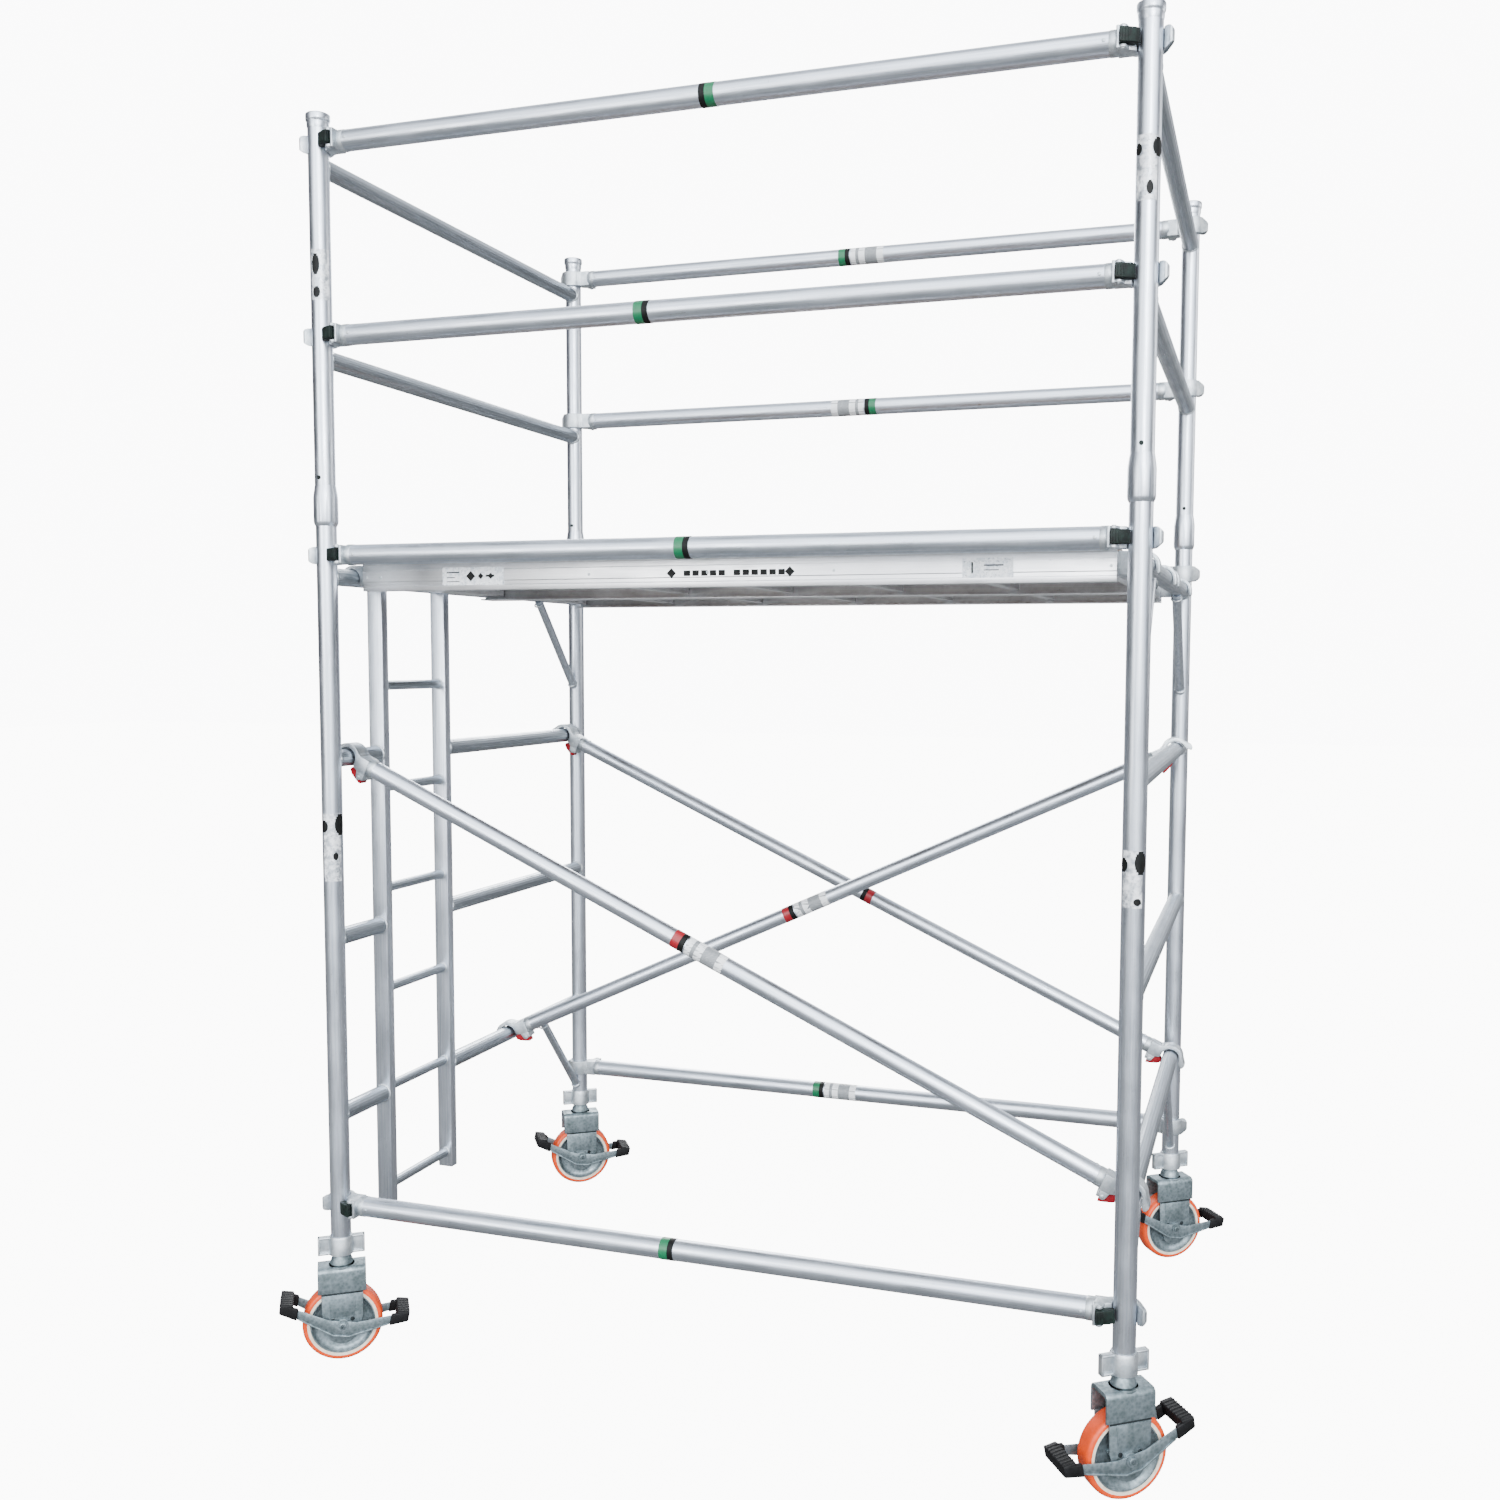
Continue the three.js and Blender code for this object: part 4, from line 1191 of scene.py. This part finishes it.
def shadow_gaps_model():
    """Painted shade: a dark strip in the slot under the hood, dark discs on the two recessed rivets
    a side.
    """
    w = FORK_HALF_WIDTH
    pieces = []
    for side in (-1, 1):
        near, far = sorted((side * (w - 1.9 * MM), side * (w - 0.6 * MM)))
        pieces.append(block((-51 * MM, near, 180 * MM), (51 * MM, far, 184.6 * MM), 0.5 * MM))
        near, far = side * (w - 2.4 * MM), side * (w - 0.2 * MM)
        for x in (-24 * MM, 24 * MM):
            pieces.append(stud((x, near, 112 * MM), (x, far, 112 * MM), 5.5 * MM, 18))
    return join(pieces)


def tread_model():
    """The moulded tread, crowned and rounded at its shoulders."""
    w = WHEEL_HALF_WIDTH
    shoulder = [(92 * MM + 8 * MM * math.sin(turn), -w + 12 * MM * (1 - math.cos(turn)))
                for turn in map(math.radians, range(15, 91, 15))]
    half = [(88 * MM, -w), (92 * MM, -w), *shoulder]
    crown = [(WHEEL_R, 0)]
    return turned(half + crown + mirrored(half)[len(half):], 72)


def ring_model():
    """The pale ring that shows between tread and centre on both sides."""
    w = WHEEL_HALF_WIDTH - 0.5 * MM
    return turned(mirrored([(81 * MM, -w), (88.5 * MM, -w)]), 64)


def hub_model():
    """The dished metal centre with a bearing boss and five bolt heads a side."""
    w = WHEEL_HALF_WIDTH
    pieces = [turned(mirrored([
        (7 * MM, -w - 3 * MM), (18 * MM, -w - 3 * MM), (22 * MM, -w + 1 * MM), (24 * MM, -16 * MM),
        (66 * MM, -13 * MM), (74 * MM, -17 * MM), (78 * MM, -w + 2 * MM), (81.5 * MM, -w + 2 * MM),
    ]), 64)]
    for side in (-1, 1):
        for turn in (math.radians(72 * i + 18) for i in range(5)):
            x, y = 44 * MM * math.cos(turn), 44 * MM * math.sin(turn)
            ends = (x, y, side * 13 * MM), (x, y, side * 19 * MM)
            pieces.append(stud(*ends, 5.5 * MM, 6))
    return join(pieces)


def stirrup_model():
    """The pedal's two V-shaped arms with folded edges, and the bars across their ends."""
    reach = PEDAL_REACH / MM
    arm_outline = in_mm((-20, -30), (20, -30), (reach, 24), (reach + 6, 44), (36, 11), (-36, 11),
                        (-reach - 6, 44), (-reach, 24))
    fold_outline = in_mm((-20, -30), (20, -30), (112, 8.2), (112, 12), (19, -26), (-19, -26),
                         (-112, 12), (-112, 8.2))
    pieces = []
    for side in (-1, 1):
        for outline, thickness, edge, inset in (
            (arm_outline, 3.6, 1.1, 0.7), (fold_outline, 5, 0.9, 0),
        ):
            flat = plate(outline, thickness * MM, edge * MM)
            place = Matrix.Translation((0, side * (PEDAL_ARM_Y - inset * MM), 0))
            pieces.append(placed(flat, place @ ON_EDGE))
        ends = [(side * PEDAL_REACH, y, PEDAL_RISE) for y in (-PEDAL_ARM_Y, PEDAL_ARM_Y)]
        pieces.append(solid_rod(*ends, 7 * MM, 20))
    return join(pieces)


def grips_model():
    """Rubber boots: a ribbed bar at each end, with covers over the last stretch of both arms."""
    half = PEDAL_ARM_Y + 5 * MM
    depth = setting("grip_depth") - 12 * MM
    rise = PEDAL_RISE
    pieces = []
    for side in (-1, 1):
        x = side * PEDAL_REACH
        near, far = sorted((x - side * depth, x + side * 12 * MM))
        low, high = (near, -half, rise - 14 * MM), (far, half, rise + 13 * MM)
        pieces.append(block(low, high, 4 * MM, 3))
        boot = ((116, 7), (161, 21), (162, 47), (116, 37))
        outline = in_mm(*((side * px, pz) for px, pz in boot))
        for y in (-PEDAL_ARM_Y, PEDAL_ARM_Y):
            cover = plate(outline, 11 * MM, 3 * MM, 3)
            pieces.append(placed(cover, Matrix.Translation((0, y, 0)) @ ON_EDGE))
        for y in (i * 11 * MM for i in range(-3, 4)):
            low, high = (near, y - 2.2 * MM, rise - 13 * MM), (far, y + 2.2 * MM, rise + 14.2 * MM)
            pieces.append(block(low, high, 1.6 * MM))
    return join(pieces)


def make_castors():
    still = Matrix.Identity(4)
    lift = Matrix.Translation((0, 0, WHEEL_R))
    # Each part's layers: their name, model, finish and place, where None rocks with the pedal
    parts = {
        "leg": (("screw", leg_model(), "zinc", still),),
        "nut": (("collar", nut_model(), "cast", still),),
        "fork": (
            ("shell", fork_model(), "zinc", still),
            # The fork's painted shade: a dark strip and dark discs where shadow falls under the
            # hood and in the rivet recesses
            ("gaps", shadow_gaps_model(), "shadow gap", still),
        ),
        "wheel": (
            ("tread", tread_model(), "tread", lift @ ON_EDGE),
            ("ring", ring_model(), "cream", lift @ ON_EDGE),
            ("centre", hub_model(), "zinc", lift @ ON_EDGE),
        ),
        "pedal": (
            ("stirrup", stirrup_model(), "zinc", None),
            ("grips", grips_model(), "grip rubber", None),
        ),
    }
    for corner, (x, y, rock) in CORNERS.items():
        stand = Matrix.Translation((x, y, 0)) @ Matrix.Rotation(CASTOR_TURN, 4, "Z")
        rocked = lift @ Matrix.Rotation(rock * PEDAL_ROCK, 4, "Y")
        for part, layers in parts.items():
            node = f"{part}_{corner}"
            for i, (name, model, finish, own) in enumerate(layers):
                piece = twin(model, stand @ (rocked if own is None else own))
                replaced = () if i else (node,)
                hand_over([piece], finish, f"{node}_{name}", node, replaced)
    for layers in parts.values():
        for _, model, *_ in layers:
            drop(model)


# ---------- stickers ----------
def wrap_patch(x, y, low, high, first, last, lift=0.35 * MM):
    """A thin patch bent round an upright, between two turns in degrees."""
    radius = UPRIGHT_R + lift
    outline = arc((x, y), radius, first, last, 16)
    outline += arc((x, y), radius - 0.25 * MM, last, first, 16)
    return placed(plate(outline, high - low), Matrix.Translation((0, 0, (low + high) / 2)))


def wrap_disc(x, y, z, turn, width, height):
    """An oval mark bent round an upright, in slices so that it follows the tube."""
    slices, count = [], 9
    for i in range(count):
        middle = (i + 0.5) / count * 2 - 1
        reach = math.degrees(width / 2 * math.sqrt(1 - middle**2) / UPRIGHT_R)
        low = z + (middle - 1 / count) * height / 2
        ends = low, low + height / count, turn - reach, turn + reach
        slices.append(wrap_patch(x, y, *ends, 0.6 * MM))
    return join(slices)


def make_labels():
    """Stickers on the uprights and the front beam, with plain ovals, bars and lozenges."""
    # Post, turn of the middle, low and high edge, then marks as height, turn, width and height
    posts = (
        (END_X, -92, 1300, 1422, ((1396, -51, 27, 50), (1391, -140, 22, 30), (1313, -65, 17, 15))),
        (LADDER_X, -58, 1255, 1428,
         ((1399, -8, 30, 54), (1395, -106, 24, 30), (1319, -39, 13, 20))),
        (END_X, -92, 2755, 2886, ((2861, -35, 27, 38), (2858, -135, 18, 23), (2780, -75, 14, 28))),
        (LADDER_X, -58, 2700, 2822, ((2786, -84, 20, 50), (2719, -80, 18, 27))),
    )
    stickers, marks = [], []
    for x, middle, low, high, discs in posts:
        stickers.append(wrap_patch(x, -HALF_W, low * MM, high * MM, middle - 52, middle + 52))
        for z, turn, width, height in discs:
            marks.append(wrap_disc(x, -HALF_W, z * MM, turn, width * MM, height * MM))
    beam_y = -DECK_EDGES_Y[1] / MM
    front, back = beam_y - 0.4, beam_y + 1.5
    for first, last in ((-712, -540), (608, 722)):
        stickers.append(block(*in_mm((first, front, 2002), (last, back, 2046)), 0.1 * MM, 1))
    # Bars by their left, right, low and high edge
    bars = [(-700, -664, 2032, 2035), (-700, -676, 2020, 2022), (-700, -664, 2010, 2012),
            (-590, -566, 2022, 2027), (628, 632, 2012, 2037), (656, 700, 2028, 2031),
            (656, 690, 2018, 2020)]
    dashes = (*range(-60, 50, 22), *range(66, 180, 22))
    bars += [(start, start + 16, 2016, 2029) for start in dashes]
    for left, right, low, high in bars:
        marks.append(block(*in_mm((left, front - 0.3, low), (right, back, high)), 0.1 * MM, 1))
    for x, z, size in ((-632, 2024, 13), (-604, 2024, 8), (-576, 2024, 8), (-92, 2023, 12),
                       (204, 2023, 12)):
        lozenge = plate(in_mm((-size, 0), (0, -size), (size, 0), (0, size)), 1.9 * MM)
        place = Matrix.Translation(in_mm((x, front + 0.6, z))[0])
        marks.append(placed(lozenge, place @ ON_EDGE))
    hand_over(stickers, "worn film", "rating_stickers", "tower")
    hand_over(marks, "black band", "sticker_marks", "tower")


# ---------- stage ----------
def make_floor():
    start_fresh()
    bpy.ops.mesh.primitive_plane_add(size=60, location=(0, 0, -0.5 * MM))
    floor = bpy.context.object
    floor.name = "floor"
    paint(floor, "floor")


def make_lights():
    """Two broad soft glows, before and behind the tower, a darker room, and four soft boxes."""
    world = bpy.data.worlds.new("studio")
    bpy.context.scene.world = world
    world.use_nodes = True
    tree = world.node_tree
    tree.nodes.clear()
    direction = add_node(tree, "ShaderNodeTexCoord").outputs["Generated"]
    strength = setting("brightness")
    glow = ROOM_GLOW * strength
    for aim, edge, peak in SOFT_GLOWS:
        wanted = {0: direction, 1: Vector(aim).normalized()}
        facing = add_node(tree, "ShaderNodeVectorMath", {"operation": "DOT_PRODUCT"}, wanted)
        wanted = {"Value": facing.outputs["Value"], 1: edge, 2: 1.0, 3: 0.0, 4: peak * strength}
        lobe = add_node(tree, "ShaderNodeMapRange", {"interpolation_type": "SMOOTHSTEP"}, wanted)
        wanted = {0: glow, 1: lobe.outputs["Result"]}
        glow = add_node(tree, "ShaderNodeMath", {"operation": "ADD"}, wanted).outputs[0]
    room, seen = (
        add_node(tree, "ShaderNodeBackground", None, {"Color": hex_color(tone), "Strength": power})
        for tone, power in (("#f0f5fc", glow), ("#fbfbfc", WHITE_GLOW))
    )
    rays = add_node(tree, "ShaderNodeLightPath").outputs["Is Camera Ray"]
    wanted = {"Fac": rays, 1: room.outputs[0], 2: seen.outputs[0]}
    mix = add_node(tree, "ShaderNodeMixShader", None, wanted)
    add_node(tree, "ShaderNodeOutputWorld", None, {"Surface": mix.outputs[0]})
    for name, (place, size, power) in LAMPS.items():
        start_fresh()
        bpy.ops.object.light_add(type="AREA", location=place)
        lamp = bpy.context.object
        lamp.name = f"{name}_light"
        lamp.data.size = size
        lamp.data.energy = power * strength
        aim = LAMP_TARGET - lamp.location
        lamp.rotation_euler = aim.to_track_quat("-Z", "Y").to_euler()


def make_camera():
    start_fresh()
    yaw, pitch, roll = CAMERA_TURN
    flat = math.cos(pitch)
    look = Vector((math.sin(yaw) * flat, math.cos(yaw) * flat, math.sin(pitch)))
    right = Vector((math.cos(yaw), -math.sin(yaw), 0))
    up = right.cross(look)
    side = right * math.cos(roll) + up * math.sin(roll)
    top = up * math.cos(roll) - right * math.sin(roll)
    bpy.ops.object.camera_add(location=CAMERA_PLACE)
    camera = bpy.context.object
    camera.name = "camera"
    camera.rotation_euler = Matrix((side, top, -look)).transposed().to_euler()
    camera.data.sensor_width = SENSOR_MM
    camera.data.lens = LENS_MM
    camera.data.shift_x, camera.data.shift_y = CAMERA_SHIFT
    camera.data.clip_end = 100
    bpy.context.scene.camera = camera


# ---------- the add-on ----------
def color_setting(name, description, tone):
    return bpy.props.FloatVectorProperty(
        name=name, description=description, subtype="COLOR", size=3, min=0.0, max=1.0,
        default=hex_color(tone)[:3])


def length_setting(name, description, size, low, high):
    return bpy.props.FloatProperty(
        name=name, description=description, subtype="DISTANCE", unit="LENGTH",
        default=size, min=low, max=high)


class ScaffoldTower(bpy.types.PropertyGroup):
    band_length: length_setting(
        "Marker length", "Length of the marker tape on each brace", 36 * MM, 10 * MM, 200 * MM)
    grip_depth: length_setting(
        "Grip depth", "Depth of the rubber bar at each end of a brake pedal",
        32 * MM, 24 * MM, 40 * MM)
    rail_color: color_setting("Rail marker", "Colour of the tape on the rails", "#0d7d50")
    diagonal_color: color_setting(
        "Diagonal marker", "Colour of the tape and catches of the diagonals", "#ad1526")
    tread_color: color_setting("Tread", "Colour of the wheels' tread", "#e2470c")
    brightness: bpy.props.FloatProperty(
        name="Studio light", description="Strength of the studio's light", subtype="FACTOR",
        default=1.0, min=0.0, soft_max=3.0)


class SCAFFOLD_OT_stage(bpy.types.Operator):
    """Adds the floor, the studio lights and the camera"""
    bl_idname = "scaffold.stage"
    bl_label = "Stage"

    def execute(self, context):
        make_floor()
        make_lights()
        make_camera()
        return {"FINISHED"}


class SCAFFOLD_OT_frames(bpy.types.Operator):
    """Models the ladder frame, the end frame and both guard frames"""
    bl_idname = "scaffold.frames"
    bl_label = "Frames"

    def execute(self, context):
        make_ladder_frame()
        make_end_frame()
        make_guard_frame("guard_frame_left", LADDER_X)
        make_guard_frame("guard_frame_right", END_X)
        return {"FINISHED"}


class SCAFFOLD_OT_braces(bpy.types.Operator):
    """Models the rails and diagonals with their claws and marker bands"""
    bl_idname = "scaffold.braces"
    bl_label = "Braces"

    def execute(self, context):
        make_braces()
        return {"FINISHED"}


class SCAFFOLD_OT_triggers(bpy.types.Operator):
    """Models the sprung catch of every claw"""
    bl_idname = "scaffold.triggers"
    bl_label = "Triggers"

    def execute(self, context):
        make_triggers()
        return {"FINISHED"}


class SCAFFOLD_OT_decks(bpy.types.Operator):
    """Models both deck units and the trapdoor"""
    bl_idname = "scaffold.decks"
    bl_label = "Decks"

    def execute(self, context):
        make_decks()
        make_trapdoor()
        return {"FINISHED"}


class SCAFFOLD_OT_castors(bpy.types.Operator):
    """Models the four castors with their screw legs, nuts and brake pedals"""
    bl_idname = "scaffold.castors"
    bl_label = "Castors"

    def execute(self, context):
        make_castors()
        return {"FINISHED"}


class SCAFFOLD_OT_labels(bpy.types.Operator):
    """Adds the plain stickers on the uprights and the front beam"""
    bl_idname = "scaffold.labels"
    bl_label = "Stickers"

    def execute(self, context):
        make_labels()
        return {"FINISHED"}


class SCAFFOLD_PT_sidebar(bpy.types.Panel):
    """Lists the tower's pieces in the sidebar"""
    bl_label = "Scaffold Tower"
    bl_idname = "SCAFFOLD_PT_sidebar"
    bl_space_type = "VIEW_3D"
    bl_region_type = "UI"
    bl_category = "Scaffold"

    def draw(self, context):
        for name in ScaffoldTower.__annotations__:
            self.layout.prop(context.scene.scaffold_tower, name)
        for step in STEPS:
            self.layout.operator(step.bl_idname)


STEPS = (SCAFFOLD_OT_stage, SCAFFOLD_OT_frames, SCAFFOLD_OT_braces, SCAFFOLD_OT_triggers,
         SCAFFOLD_OT_decks, SCAFFOLD_OT_castors, SCAFFOLD_OT_labels)
CLASSES = (ScaffoldTower, *STEPS, SCAFFOLD_PT_sidebar)


def register():
    for item in CLASSES:
        bpy.utils.register_class(item)
    bpy.types.Scene.scaffold_tower = bpy.props.PointerProperty(type=ScaffoldTower)


def unregister():
    del bpy.types.Scene.scaffold_tower
    for item in reversed(CLASSES):
        bpy.utils.unregister_class(item)


def main():
    register()
    bpy.ops.scaffold.stage()
    bpy.ops.scaffold.frames()
    bpy.ops.scaffold.braces()
    bpy.ops.scaffold.triggers()
    bpy.ops.scaffold.decks()
    bpy.ops.scaffold.castors()
    bpy.ops.scaffold.labels()


if __name__ == "__main__":
    main()
